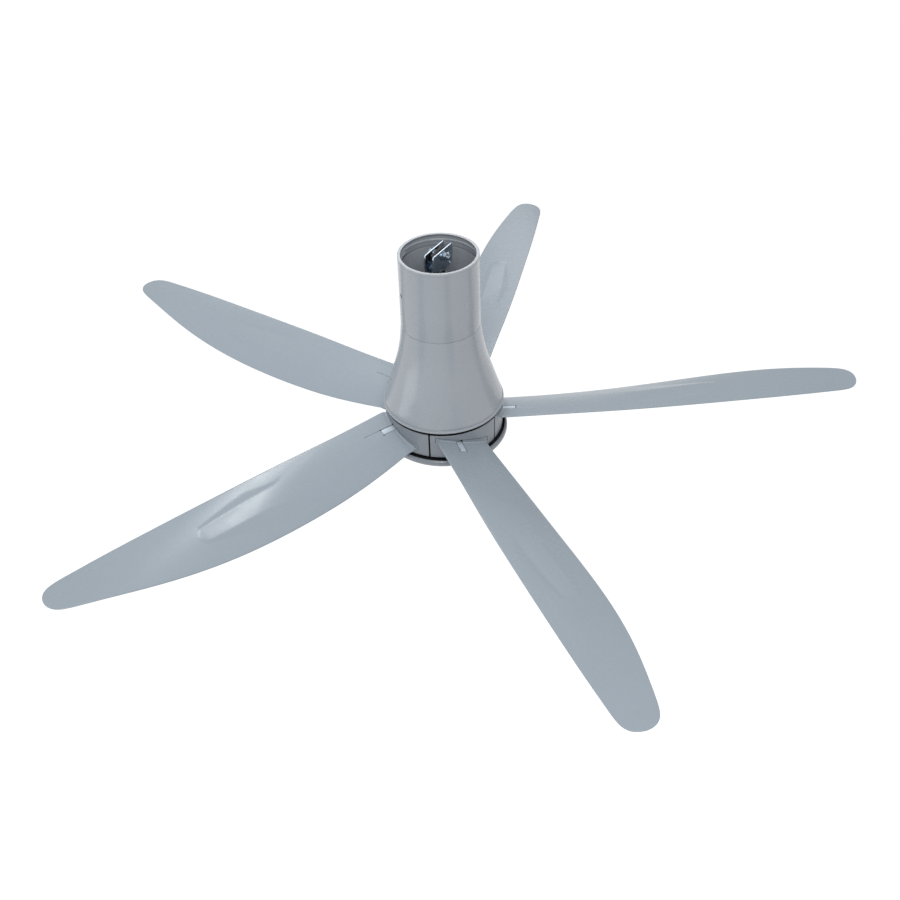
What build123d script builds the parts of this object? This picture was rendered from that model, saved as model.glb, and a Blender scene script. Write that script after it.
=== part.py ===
from build123d import *
import os
from math import atan, cos, degrees, radians, sin, tan

os.makedirs("parts", exist_ok=True)

# A five-blade ceiling fan, in millimetres. The origin is the point where the ceiling hook bears,
# under the rubber saddle, so nearly every height is negative. +Z is up, and the bracket's bolt
# lies along Y.

# Blades
BLADE_COUNT = 5
FIRST_BLADE_ANGLE = 14.1
SWEEP_RADIUS = 750.0
ROOT_RADIUS = 112.0
ROOT_Z = -302.45
ROOT_PITCH = 17.8
# How pitch (degrees) and height change from root to tip: factors of the share of the way, its square
# and its cube
PITCH_CURVE = (12.7, -60.8, 23.1)
RISE_CURVE = (-8.9, 86.0, -57.1)
CAMBER = 5.4
CAMBER_HALF_CHORD = 60.0
ROOT_THICKNESS = 7.0
TIP_THICKNESS = 3.2
NOSE_THICKNESS = 5.4
EDGE_THICKNESS = 2.4
TAB_X = 80.4
TAB_Y = (-42.0, 45.0)
TAB_SHOULDER_X = (97.0, 103.0)
# Leading and trailing edge, each as distance along the blade and distance across it
LEADING_EDGE = ((112, -46.0), (200, -41.2), (320, -36.6), (450, -28.7), (570, -19.8), (670, -10.7))
TRAILING_EDGE = ((112, 46.8), (220, 64.9), (330, 78.0), (430, 86.0), (520, 87.4), (600, 81.1), (670, 69.3))
TIP_SHOULDER_X = 660.0
TIP_OUTLINE = ((739.6, 2.7), (750, 24.4), (742, 48.3))

# Hanger: a U-shaped bracket on the pipe, with a rubber saddle on its bolt
CHEEK_GAP = 12.8
PLATE_THICKNESS = 2.6
CHEEK_TOP = (27.3, 23.0)
CHEEK_BULGE = (30.0, 6.0)
CHEEK_HIP = (27.5, -8.0)
CHEEK_FOOT = (13.5, -16.0)
BEND_RADIUS = 7.0
BRACKET_BOTTOM_Z = -19.0
BOLT_Z = 13.0
SADDLE_WIDTH = 38.0
SADDLE_THICKNESS = 6.0
SADDLE_SIDE_Z = (13.0, 19.4)
SADDLE_TOP_Z = 22.2
SLEEVE_RADIUS = 7.0
SLEEVE_FIT = 0.05
BOLT_RADIUS = 4.0
BOLT_HOLE_RADIUS = 4.25
BOLT_END_Y = -22.2
PIN_Y = -19.6
PIN_RADIUS = 1.2
WASHER_RADIUS = 8.4
WASHER_THICKNESS = 1.6
NUT_HEIGHT = 6.5
HEAD_HEIGHT = 5.3
HEX_RADIUS = 6.5

# Pipe, coupling and carrier plate
PIPE_RADIUS = 13.6
PIPE_BORE = 10.8
PIPE_BOTTOM_Z = -222.0
SOCKET_RADIUS = 19.0
SOCKET_TOP_Z = -176.0
FLANGE_TOP_Z = -234.0
FLANGE_BOTTOM_Z = -240.0
FLANGE_RADIUS = 38.0
COLLAR_BOTTOM_Z = -250.0
COLLAR_RADIUS = 14.0
CROSS_BOLT_Z = -198.0
CROSS_FACE_Y = 20.0
CROSS_BOSS_RADIUS = 9.0
CROSS_BOLT_END_Y = -33.0
CROSS_PIN_Y = -30.2
LEAD_EXIT_Z = -225.5
CARRIER_RADIUS = 88.0
CARRIER_TOP_Z = -231.0
CARRIER_SCREW_CIRCLE = 28.0
CANOPY_SCREW_CIRCLE = 84.5

# Canopy: the upper tube slides on the neck of the lower bell
RIM_Z = 15.0
RIM_RADIUS = 67.1
BEAD_Z = 9.0
BEAD_RADIUS = 64.5
TUBE_BORE = 65.6
SEAM_Z = -115.0
SEAM_RADIUS = 68.3
NECK_TOP = -7.3
NECK_RADIUS = 65.0
NECK_BORE = 63.0
LOCK_HOLE_RADIUS = 4.5
LOCK_HOLE_Z = -50.0
LOCK_HOLE_ANGLE = 142.0
STOP_TAB_ANGLE = 105.0
BELL_WALL = 3.0
LIP_Z = -276.0
BELL_OUTLINE = (
    (68.3, -115.3),
    (71.4, -146),
    (77.0, -176),
    (85.2, -206),
    (93.1, -231),
    (99.4, -251),
    (104.4, -266),
    (106.6, -274.5),
)
SHELF_INNER_RADIUS = 80.0
SHELF_OUTER_RADIUS = 90.2
SHELF_TOP_Z = -227.0

# Control box
BOX_X = (27.0, 61.0)
BOX_HALF_Y = 36.0
BOX_TOP_Z = -191.0
BOX_WALL = 2.0
BOARD_Z = -224.0

# Shaft, bearings and stator
SHAFT_RADIUS = 7.5
SHAFT_BORE = 4.0
SHAFT_TOP_Z = -230.0
STUD_TOP_Z = -334.0
STUD_BOTTOM_Z = -341.0
STUD_RADIUS = 6.0
BEARING_OUTER_RADIUS = 17.5
BEARING_WIDTH = 11.0
BEARING_Z = (-317.8, -262.0)
BALL_RADIUS = 3.0
BALL_CIRCLE = 12.6
BALL_COUNT = 8
STATOR_Z = -297.5
STATOR_HEIGHT = 24.0
STATOR_RADIUS = 68.2
COIL_COUNT = 12
COIL_HEIGHT = 34.0

# Rotor
CUP_RADIUS = 77.0
CUP_BORE = 74.0
CUP_FLOOR_Z = -325.3
CUP_TOP_Z = -273.5
CUP_FLANGE_RADIUS = 84.0
SEAT_RADIUS = 22.0
BASE_FLANGE_RADIUS = 98.0
BASE_FLANGE_Z = (-328.8, -325.8)
WALL = 3.0
MAGNET_THICKNESS = 5.0
HUB_RADIUS = 106.0
HUB_TOP_Z = -283.0
HUB_BOTTOM_Z = -329.3
HUB_INNER_RADIUS = 77.3
SEGMENT_GAP = 1.2
SEGMENT_START = -32.5
SOCKET_SCREW_CIRCLE = 90.0
SOCKET_SCREW_ANGLES = (-20.0, 35.5)
SLOT_Y = (-44.6, 48.6)
SLOT_ROOF_Z = -296.8
SLOT_PITCH = 14.0
SLOT_CAMBER = 4.0
SLOT_BELOW = 0.4

# Latch: a spring-steel strip in a channel of the blade's root, with a lip that drops into a pocket
LATCH_Y = -7.2
LATCH_WIDTH = 10.0
LATCH_THICKNESS = 1.0
LATCH_SINK = 0.25
LATCH_X = (84.0, 129.6)
LATCH_LIP = (1.2, 3.6)
CHANNEL_WIDTH = 12.6
CHANNEL_DEPTH = 2.1
POCKET_DEPTH = 4.6
POCKET_X = (124.8, 130.2)
RIVET_ROOM_X = 93.5
CORNER_HOLE_RADIUS = 1.5
NOTCH_HEIGHT = 2.8
RIVET_X = 88.0
RIVET_RADIUS = 1.78
RIVET_HEAD = (3.4, 1.2)

# Bottom cover
COVER_RADIUS = 115.0
COVER_TOP_Z = -332.0
COVER_BOTTOM_Z = -347.0
COVER_WALL = 2.4
COVER_MOUTH_RADIUS = 100.0
BRACKET_RADIUS = 60.0
LENS_ANGLE = -147.6
LENS_CIRCLE = 106.0
LENS_RADIUS = 4.0


def span_share(x):
    """How far along the blade a distance is: zero at the root, one at the tip."""
    return max(0.0, (x - ROOT_RADIUS) / (SWEEP_RADIUS - ROOT_RADIUS))


def along_span(curve, x):
    """A smooth change along the blade that starts from zero at the root."""
    s = span_share(x)
    return sum(factor * s ** (power + 1) for power, factor in enumerate(curve))


def blade_pitch(x):
    """Pitch in degrees at a distance along the blade: steepest near the root, flat at the tip."""
    return ROOT_PITCH + along_span(PITCH_CURVE, x)


def blade_rise(x):
    """Height of the blade's middle line over its root."""
    return along_span(RISE_CURVE, x)


def blade_top(x, y):
    """Height of the blade's upper surface."""
    slope = tan(radians(blade_pitch(x)))
    return ROOT_Z + blade_rise(x) - slope * y - CAMBER * (y / CAMBER_HALF_CHORD) ** 2


def across(points, x):
    """Straight interpolation of an edge's distance across the blade."""
    for (x0, y0), (x1, y1) in zip(points, points[1:]):
        if x <= x1:
            return y0 + (y1 - y0) * (x - x0) / (x1 - x0)
    (x0, y0), (x1, y1) = points[-2:]
    return y1 + (y1 - y0) * (x - x1) / (x1 - x0)


def ring(inner, outer, low, high):
    """A flat ring, or a disc where the inner radius is zero."""
    face = Circle(outer) - Circle(inner) if inner > 0 else Circle(outer)
    return Pos(0, 0, low) * extrude(face, high - low)


def turned(points, start=0.0, angle=360.0):
    """A closed outline of radius and height, turned about the fan's axis."""
    face = Plane.XZ * make_face(Polyline(*points, close=True))
    return Rot(0, 0, start) * revolve(face, Axis.Z, angle)


def block(x, y, z):
    """A box given by its two ends along each axis."""
    size = (x[1] - x[0], y[1] - y[0], z[1] - z[0])
    return Pos((x[0] + x[1]) / 2, (y[0] + y[1]) / 2, (z[0] + z[1]) / 2) * Box(*size)


def upright(radius, x, y, low, high):
    """An upright cylinder."""
    return Pos(x, y, (low + high) / 2) * Cylinder(radius, high - low)


def along_y(radius, x, z, y_low, y_high):
    """A cylinder that lies along Y."""
    return Pos(x, (y_low + y_high) / 2, z) * Rot(90, 0, 0) * Cylinder(radius, y_high - y_low)


def hex_along_y(radius, bore, z, y_low, y_high):
    """A hexagonal nut or bolt head that lies along Y; radius is half its width across flats."""
    face = RegularPolygon(radius, 6, major_radius=False)
    if bore > 0:
        face = face - Circle(bore)
    return Pos(0, y_high, z) * Rot(90, 0, 0) * extrude(face, y_high - y_low)


def polar(radius, angle):
    return radius * cos(radians(angle)), radius * sin(radians(angle))


def hanger_bracket():
    """U-shaped bracket of bent plate: two cheeks, wide at the bolt, on a narrow base."""
    outer = CHEEK_GAP / 2 + PLATE_THICKNESS
    height = CHEEK_TOP[1] - BRACKET_BOTTOM_Z
    middle = (CHEEK_TOP[1] + BRACKET_BOTTOM_Z) / 2
    width = 2 * CHEEK_BULGE[0] + 4
    block_out = Pos(0, 0, middle) * Box(width, 2 * outer, height)
    block_out = fillet(block_out.edges().filter_by(Axis.X).group_by(Axis.Z)[0], BEND_RADIUS)
    inside = Pos(0, 0, middle + PLATE_THICKNESS) * Box(width, CHEEK_GAP, height)
    inside = fillet(inside.edges().filter_by(Axis.X).group_by(Axis.Z)[0], BEND_RADIUS - PLATE_THICKNESS)
    right = ThreePointArc(CHEEK_TOP, CHEEK_BULGE, CHEEK_HIP)
    left = mirror(right, Plane.YZ)
    foot = Polyline(
        CHEEK_HIP,
        CHEEK_FOOT,
        (CHEEK_FOOT[0], BRACKET_BOTTOM_Z),
        (-CHEEK_FOOT[0], BRACKET_BOTTOM_Z),
        (-CHEEK_FOOT[0], CHEEK_FOOT[1]),
        (-CHEEK_HIP[0], CHEEK_HIP[1]),
    )
    top = Line(CHEEK_TOP, (-CHEEK_TOP[0], CHEEK_TOP[1]))
    face = make_face([right, foot, left, top]) - Pos(0, BOLT_Z) * Circle(BOLT_HOLE_RADIUS)
    shield = Plane.XZ * extrude(face, 2 * outer, both=True)
    bracket = (block_out - inside) & shield
    return bracket.solid()


def rubber_saddle():
    """Block with a crowned top, and round below where the hook carries it."""
    half = SADDLE_WIDTH / 2
    low, high = SADDLE_SIDE_Z
    bottom = ThreePointArc((-half, low), (0, 0), (half, low))
    top = ThreePointArc((half, high), (0, SADDLE_TOP_Z), (-half, high))
    sides = [Line((half, low), (half, high)), Line((-half, high), (-half, low))]
    face = make_face([bottom, top] + sides) - Pos(0, BOLT_Z) * Circle(SLEEVE_RADIUS + SLEEVE_FIT)
    solid = Pos(0, SADDLE_THICKNESS / 2, 0) * (Plane.XZ * extrude(face, SADDLE_THICKNESS))
    return solid


def saddle_sleeve():
    half = CHEEK_GAP / 2
    return along_y(SLEEVE_RADIUS, 0, BOLT_Z, -half, half) - along_y(BOLT_HOLE_RADIUS, 0, BOLT_Z, -half, half)


def bolt(height, head_face, end, pin_y):
    """Bolt along Y with a hexagonal head on the +Y side and a hole for its split pin."""
    shank = along_y(BOLT_RADIUS, 0, height, end, head_face)
    head = hex_along_y(HEX_RADIUS, 0, height, head_face, head_face + HEAD_HEIGHT)
    drill = upright(PIN_RADIUS + 0.05, 0, pin_y, height - BOLT_RADIUS - 1, height + BOLT_RADIUS + 1)
    return shank + head - drill


def nut(height, face):
    """Nut on the bolt's thread; its face against the work is the one at the larger Y."""
    return hex_along_y(HEX_RADIUS, BOLT_RADIUS + 0.02, height, face - NUT_HEIGHT, face)


def hanger_washer(side):
    plate_face = CHEEK_GAP / 2 + PLATE_THICKNESS
    ends = sorted((side * plate_face, side * (plate_face + WASHER_THICKNESS)))
    return along_y(WASHER_RADIUS, 0, BOLT_Z, *ends) - along_y(BOLT_HOLE_RADIUS, 0, BOLT_Z, *ends)


def split_pin(y, height):
    """A split pin: a round eye above, one straight shank, and an end bent outwards below."""
    reach = BOLT_RADIUS + 1.6
    bend = 1.6 * PIN_RADIUS
    top = (0, y, height + reach)
    corner = (0, y, height - reach)
    path = FilletPolyline(top, corner, (0, y - 2.6, height - reach - 2.6), radius=bend)
    shank = sweep(Plane(path @ 0, z_dir=path % 0) * Circle(PIN_RADIUS), path)
    eye = Rot(90, 0, 0) * Torus(1.9 * PIN_RADIUS, 0.75 * PIN_RADIUS)
    return shank + Pos(0, y, height + reach + 1.3 * PIN_RADIUS) * eye


def down_pipe():
    pipe = ring(PIPE_BORE, PIPE_RADIUS, PIPE_BOTTOM_Z, BRACKET_BOTTOM_Z)
    return pipe - along_y(BOLT_HOLE_RADIUS, 0, CROSS_BOLT_Z, -20, 20)


def motor_coupling():
    """Casting: pipe socket above, flange for the carrier plate, shaft seat below."""
    body = ring(0, SOCKET_RADIUS, FLANGE_TOP_Z, SOCKET_TOP_Z)
    body = body + along_y(CROSS_BOSS_RADIUS, 0, CROSS_BOLT_Z, -CROSS_FACE_Y, CROSS_FACE_Y)
    body = body + ring(0, FLANGE_RADIUS, FLANGE_BOTTOM_Z, FLANGE_TOP_Z)
    body = body + ring(0, COLLAR_RADIUS, COLLAR_BOTTOM_Z, FLANGE_BOTTOM_Z)
    body = body - ring(0, PIPE_RADIUS + 0.05, PIPE_BOTTOM_Z, SOCKET_TOP_Z)
    body = body - ring(0, PIPE_BORE, SHAFT_TOP_Z, PIPE_BOTTOM_Z)
    body = body - ring(0, SHAFT_RADIUS + 0.02, COLLAR_BOTTOM_Z, SHAFT_TOP_Z)
    body = body - along_y(BOLT_HOLE_RADIUS, 0, CROSS_BOLT_Z, -30, 30)
    body = body - Pos(14, 0, LEAD_EXIT_Z) * Rot(0, 90, 0) * Cylinder(3.0, 16)
    for x, y in carrier_screw_places():
        body = body - upright(2.52, x, y, FLANGE_BOTTOM_Z, FLANGE_TOP_Z)
    return body


def carrier_screw_places():
    return [polar(CARRIER_SCREW_CIRCLE, 45 + 90 * k) for k in range(4)]


def canopy_screw_places():
    return [polar(CANOPY_SCREW_CIRCLE, 90 + 120 * k) for k in range(3)]


def carrier_plate():
    plate = ring(SOCKET_RADIUS + 0.3, CARRIER_RADIUS, FLANGE_TOP_Z, CARRIER_TOP_Z)
    for x, y in carrier_screw_places():
        plate = plate - upright(2.7, x, y, FLANGE_TOP_Z, CARRIER_TOP_Z)
    for x, y in canopy_screw_places():
        plate = plate - upright(2.25, x, y, FLANGE_TOP_Z, CARRIER_TOP_Z)
    return plate


def headed_screw(x, y, head_face, tip, shank_radius, head_radius, head_height):
    """A screw with a low round head; it points up where the tip is higher than the head's face."""
    up = tip > head_face
    outer = head_face - head_height if up else head_face + head_height
    shank = upright(shank_radius, x, y, *sorted((head_face, tip)))
    head = upright(head_radius, x, y, *sorted((head_face, outer)))
    driver = upright(head_radius * 0.35, x, y, *sorted((outer, outer + (0.8 if up else -0.8))))
    return shank + head - driver


def lower_canopy():
    """The bell, its neck inside the upper tube and the shelf that sits on the carrier plate."""
    outer = Spline(*BELL_OUTLINE)
    inner_points = [(r - BELL_WALL, z) for r, z in reversed(BELL_OUTLINE[1:])]
    inner = Spline(*inner_points)
    lip = Polyline(BELL_OUTLINE[-1], (106.0, LIP_Z), (104.2, LIP_Z), inner_points[0])
    back = Polyline(
        inner_points[-1],
        (NECK_BORE, SEAM_Z - 14),
        (NECK_BORE, NECK_TOP),
        (NECK_RADIUS, NECK_TOP),
        (NECK_RADIUS, BELL_OUTLINE[0][1]),
        BELL_OUTLINE[0],
    )
    bell = revolve(Plane.XZ * make_face(outer + lip + inner + back), Axis.Z)
    bell = bell + ring(SHELF_INNER_RADIUS, SHELF_OUTER_RADIUS, CARRIER_TOP_Z, SHELF_TOP_Z)
    for x, y in canopy_screw_places():
        bell = bell - upright(2.02, x, y, CARRIER_TOP_Z, SHELF_TOP_Z)
    return bell


def upper_canopy():
    """The tube over the neck, with a bead under the rim, two lock holes and a stop tab."""
    outline = (
        (TUBE_BORE, SEAM_Z),
        (SEAM_RADIUS, SEAM_Z),
        (67.6, -66.0),
        (RIM_RADIUS, RIM_Z - 1.2),
        (RIM_RADIUS - 0.6, RIM_Z),
        (BEAD_RADIUS + 0.3, RIM_Z),
        (BEAD_RADIUS, RIM_Z - 0.3),
        (BEAD_RADIUS, BEAD_Z),
        (TUBE_BORE, BEAD_Z - 1.1),
    )
    tube = turned(outline)
    tab = ((60.5, 0.0), (TUBE_BORE + 0.5, 0.0), (TUBE_BORE + 0.5, 3.0), (60.5, 3.0))
    tube = tube + turned(tab, STOP_TAB_ANGLE - 11, 22)
    drill = Rot(0, 90, 0) * Cylinder(LOCK_HOLE_RADIUS, 160)
    return tube - Pos(0, 0, LOCK_HOLE_Z) * Rot(0, 0, LOCK_HOLE_ANGLE) * drill


def inset_box(inset, low, high):
    """A block of the control box's outline, drawn in by a margin all round."""
    x = (BOX_X[0] + inset, BOX_X[1] - inset)
    y = (inset - BOX_HALF_Y, BOX_HALF_Y - inset)
    return block(x, y, (low, high))


def control_box():
    floor = CARRIER_TOP_Z + BOX_WALL
    box = inset_box(0, CARRIER_TOP_Z, BOX_TOP_Z) - inset_box(BOX_WALL, floor, BOX_TOP_Z + 1)
    for sx, sy in box_screw_places():
        box = box + upright(3.2, sx, sy, floor, BOX_TOP_Z)
    for sx, sy in box_screw_places():
        box = box - upright(1.52, sx, sy, BOX_TOP_Z - 8, BOX_TOP_Z)
    return box - Pos(BOX_X[0], 0, LEAD_EXIT_Z) * Rot(0, 90, 0) * Cylinder(1.5, 8)


def box_screw_places():
    return [(BOX_X[0] + 4.6, -BOX_HALF_Y + 4.6), (BOX_X[1] - 4.6, BOX_HALF_Y - 4.6)]


def control_box_lid():
    lid = inset_box(0, BOX_TOP_Z, BOX_TOP_Z + BOX_WALL)
    for x, y in box_screw_places():
        lid = lid - upright(1.7, x, y, BOX_TOP_Z, BOX_TOP_Z + BOX_WALL)
    return lid


def control_board():
    board = inset_box(2.6, BOARD_Z - 1.6, BOARD_Z)
    for x, y in box_screw_places():
        board = board - block((x - 4, x + 4), (y - 4, y + 4), (BOARD_Z - 2, BOARD_Z + 1))
    return board


def board_parts():
    """Two capacitors, a choke, a relay and a heat sink on the control board."""
    middle = (BOX_X[0] + BOX_X[1]) / 2
    capacitors = [upright(7.5, middle, y, BOARD_Z, BOARD_Z + 24) for y in (-20, -3)]
    choke = ring(4, 8.5, BOARD_Z, BOARD_Z + 7)
    relay = block((middle - 12, middle - 2), (23, 31), (BOARD_Z, BOARD_Z + 15))
    return capacitors + [Pos(middle, 14, 0) * choke, relay]


def terminal_block():
    body = block((-60, -40), (-15, 15), (CARRIER_TOP_Z, CARRIER_TOP_Z + 14))
    for y in (-10, 0, 10):
        body = body - upright(2.6, -55, y, CARRIER_TOP_Z + 6, CARRIER_TOP_Z + 15)
        body = body - block((-48, -39), (y - 3, y + 3), (CARRIER_TOP_Z + 3, CARRIER_TOP_Z + 10))
    return body


def motor_shaft():
    shaft = ring(0, SHAFT_RADIUS, STUD_TOP_Z, SHAFT_TOP_Z) + ring(0, STUD_RADIUS, STUD_BOTTOM_Z, STUD_TOP_Z)
    return shaft - ring(0, SHAFT_BORE, STUD_BOTTOM_Z - 1, SHAFT_TOP_Z + 1)


def race(middle, inner, outer):
    """A bearing ring with its ball groove."""
    half = BEARING_WIDTH / 2
    groove = Pos(0, 0, middle) * Torus(BALL_CIRCLE, BALL_RADIUS + 0.04)
    return ring(inner, outer, middle - half, middle + half) - groove


def ball_places(middle):
    return [Pos(*polar(BALL_CIRCLE, 360 * k / BALL_COUNT), middle) for k in range(BALL_COUNT)]


def bearing_balls(middle):
    return [place * Sphere(BALL_RADIUS) for place in ball_places(middle)]


def bearing_cage(middle):
    """Ring between the balls, with a round pocket through it for each."""
    cage = ring(BALL_CIRCLE - 0.8, BALL_CIRCLE + 0.8, middle - 4.2, middle + 4.2)
    pocket = Pos(BALL_CIRCLE, 0, middle) * Rot(0, 90, 0) * Cylinder(BALL_RADIUS + 0.05, 4)
    for k in range(BALL_COUNT):
        cage = cage - Rot(0, 0, 360 * k / BALL_COUNT) * pocket
    return cage


def stator_core():
    """Twelve teeth with shoes round a yoke."""
    low = STATOR_Z - STATOR_HEIGHT / 2
    high = STATOR_Z + STATOR_HEIGHT / 2
    core = ring(14, 30, low, high)
    for k in range(COIL_COUNT):
        turn = Rot(0, 0, 360 * k / COIL_COUNT)
        shoe = ((62, low), (STATOR_RADIUS, low), (STATOR_RADIUS, high), (62, high))
        core = core + turn * block((28, 64), (-4.5, 4.5), (low, high))
        core = core + turn * turned(shoe, -12.5, 25)
    return core


def stator_windings():
    half = COIL_HEIGHT / 2
    coil = block((35, 60), (-8, 8), (STATOR_Z - half, STATOR_Z + half))
    coil = fillet(coil.edges().filter_by(Axis.X), 3.5)
    coil = coil - block((34, 61), (-4.7, 4.7), (STATOR_Z - 12.2, STATOR_Z + 12.2))
    return [Rot(0, 0, 360 * k / COIL_COUNT) * coil for k in range(COIL_COUNT)]


def rotor_cup():
    """Deep cup: bearing seat, floor, wall, a flange for the cover and one for the sockets."""
    outline = (
        (BEARING_OUTER_RADIUS, CUP_FLOOR_Z),
        (CUP_BORE, CUP_FLOOR_Z),
        (CUP_BORE, BASE_FLANGE_Z[0]),
        (BASE_FLANGE_RADIUS, BASE_FLANGE_Z[0]),
        (BASE_FLANGE_RADIUS, BASE_FLANGE_Z[1]),
        (CUP_RADIUS, BASE_FLANGE_Z[1]),
        (CUP_RADIUS, CUP_TOP_Z - WALL),
        (CUP_FLANGE_RADIUS, CUP_TOP_Z - WALL),
        (CUP_FLANGE_RADIUS, CUP_TOP_Z),
        (CUP_BORE, CUP_TOP_Z),
        (CUP_BORE, CUP_FLOOR_Z + WALL),
        (SEAT_RADIUS, CUP_FLOOR_Z + WALL),
        (SEAT_RADIUS, BEARING_Z[0] + BEARING_WIDTH / 2),
        (BEARING_OUTER_RADIUS, BEARING_Z[0] + BEARING_WIDTH / 2),
    )
    cup = turned(outline)
    for x, y in cover_screw_places():
        cup = cup - upright(1.52, x, y, CUP_TOP_Z - WALL, CUP_TOP_Z)
    for x, y in socket_screw_places():
        cup = cup - upright(2.25, x, y, *BASE_FLANGE_Z)
    return cup


def rotor_cover():
    """Lid of the cup, raised in the middle round the upper bearing."""
    top = BEARING_Z[1] + BEARING_WIDTH / 2
    outline = (
        (9.5, top),
        (BEARING_OUTER_RADIUS, top),
        (BEARING_OUTER_RADIUS, BEARING_Z[1] - BEARING_WIDTH / 2),
        (SEAT_RADIUS, BEARING_Z[1] - BEARING_WIDTH / 2),
        (SEAT_RADIUS, top - 1),
        (28, top - 1),
        (44, CUP_TOP_Z),
        (CUP_FLANGE_RADIUS, CUP_TOP_Z),
        (CUP_FLANGE_RADIUS, CUP_TOP_Z + WALL),
        (46, CUP_TOP_Z + WALL),
        (30, top + 2),
        (9.5, top + 2),
    )
    cover = turned(outline)
    for x, y in cover_screw_places():
        cover = cover - upright(1.7, x, y, CUP_TOP_Z, CUP_TOP_Z + WALL)
    return cover


def cover_screw_places():
    return [polar(80.5, 30 + 60 * k) for k in range(6)]


def blade_angle(k):
    return FIRST_BLADE_ANGLE + 360 * k / BLADE_COUNT


def socket_screw_places():
    angles = [blade_angle(k) + a for k in range(BLADE_COUNT) for a in SOCKET_SCREW_ANGLES]
    return [polar(SOCKET_SCREW_CIRCLE, angle) for angle in angles]


def on_blade():
    """Frame on the blade's root over the latch: X along the blade, Z square to its surface."""
    slope = -tan(radians(ROOT_PITCH)) - 2 * CAMBER * LATCH_Y / CAMBER_HALF_CHORD**2
    return Pos(0, LATCH_Y, blade_top(ROOT_RADIUS, LATCH_Y)) * Rot(degrees(atan(slope)), 0, 0)


def blade_thickness(x):
    """Thickness at the leading edge, in the middle and at the trailing edge."""
    s = span_share(x)
    nose = NOSE_THICKNESS + (EDGE_THICKNESS - NOSE_THICKNESS) * s
    middle = ROOT_THICKNESS + (TIP_THICKNESS - ROOT_THICKNESS) * s
    return nose, middle, EDGE_THICKNESS


def slot_roof(y):
    """Height of the slot's upper edge in the hub wall."""
    return SLOT_ROOF_Z - tan(radians(SLOT_PITCH)) * y - SLOT_CAMBER * (y / CAMBER_HALF_CHORD) ** 2


def four_sided(x, top, low):
    """Face in the plane across the blade between an upper and a lower arc of three points each."""
    top = [(x, y, z) for y, z in top]
    low = [(x, y, z) for y, z in low]
    arcs = ThreePointArc(*top) + ThreePointArc(*low)
    sides = Line(top[-1], low[-1]) + Line(low[0], top[0])
    return make_face(arcs + sides)


def slot_section():
    """The slot's outline: its roof, and a floor that follows the blade's underside."""
    places = (SLOT_Y[0], sum(SLOT_Y) / 2, SLOT_Y[1])
    roof = [(y, slot_roof(y)) for y in places]
    depths = zip(places, blade_thickness(ROOT_RADIUS))
    floor = [(y, blade_top(ROOT_RADIUS, y) - t - SLOT_BELOW) for y, t in depths]
    return four_sided(TAB_X - 0.4, roof, floor)


def blade_socket():
    """A hub segment with the slanted slot for one blade, at azimuth 0."""
    rim = 1.5
    outline = (
        (HUB_INNER_RADIUS, BASE_FLANGE_Z[1]),
        (BASE_FLANGE_RADIUS + 0.3, BASE_FLANGE_Z[1]),
        (BASE_FLANGE_RADIUS + 0.3, HUB_BOTTOM_Z),
        (HUB_RADIUS - 0.6, HUB_BOTTOM_Z),
        (HUB_RADIUS, HUB_BOTTOM_Z + 0.6),
        (HUB_RADIUS, HUB_TOP_Z - rim),
        (HUB_RADIUS - rim, HUB_TOP_Z),
        (HUB_INNER_RADIUS, HUB_TOP_Z),
    )
    span = 360 / BLADE_COUNT - SEGMENT_GAP
    socket = turned(outline, SEGMENT_START + SEGMENT_GAP / 2, span)
    socket = socket - extrude(slot_section(), 50, dir=(1, 0, 0))
    roof = slot_roof(LATCH_Y)
    half = CHANNEL_WIDTH / 2
    notch_x = (TAB_SHOULDER_X[0], HUB_RADIUS + 1)
    socket = socket - block(notch_x, (LATCH_Y - half, LATCH_Y + half), (roof - 2, roof + NOTCH_HEIGHT))
    boss = Pos(RIVET_X, 0, 3.2) * Cylinder(4.4, 6.0)
    bore = Pos(RIVET_X, 0, 3.5) * Cylinder(RIVET_RADIUS + 0.02, 7.4)
    socket = socket + on_blade() * boss - on_blade() * bore
    for angle in SOCKET_SCREW_ANGLES:
        x, y = polar(SOCKET_SCREW_CIRCLE, angle)
        socket = socket - upright(2.02, x, y, BASE_FLANGE_Z[1], BASE_FLANGE_Z[1] + 9)
    return socket


def blade_section(x):
    """A thin arched section across the blade."""
    y0 = across(LEADING_EDGE, x)
    y1 = across(TRAILING_EDGE, x)
    places = (y0, (y0 + y1) / 2, y1)
    top = [(y, blade_top(x, y)) for y in places]
    low = [(y, blade_top(x, y) - t) for y, t in zip(places, blade_thickness(x))]
    return four_sided(x, top, low)


def tip_region():
    """Upright prism that rounds the blade's tip."""
    lead = (TIP_SHOULDER_X, across(LEADING_EDGE, TIP_SHOULDER_X) - 0.2)
    trail = (TIP_SHOULDER_X, across(TRAILING_EDGE, TIP_SHOULDER_X) + 0.2)
    lead_way = (1, 0.1)
    trail_way = (-1, 0.22)
    nose = Spline(lead, *TIP_OUTLINE, trail, tangents=(lead_way, trail_way))
    sides = Polyline(trail, (TIP_SHOULDER_X, 120), (60, 120), (60, -80), (TIP_SHOULDER_X, -80), lead)
    return Pos(0, 0, ROOT_Z - 60) * extrude(make_face(nose + sides), 140)


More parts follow.
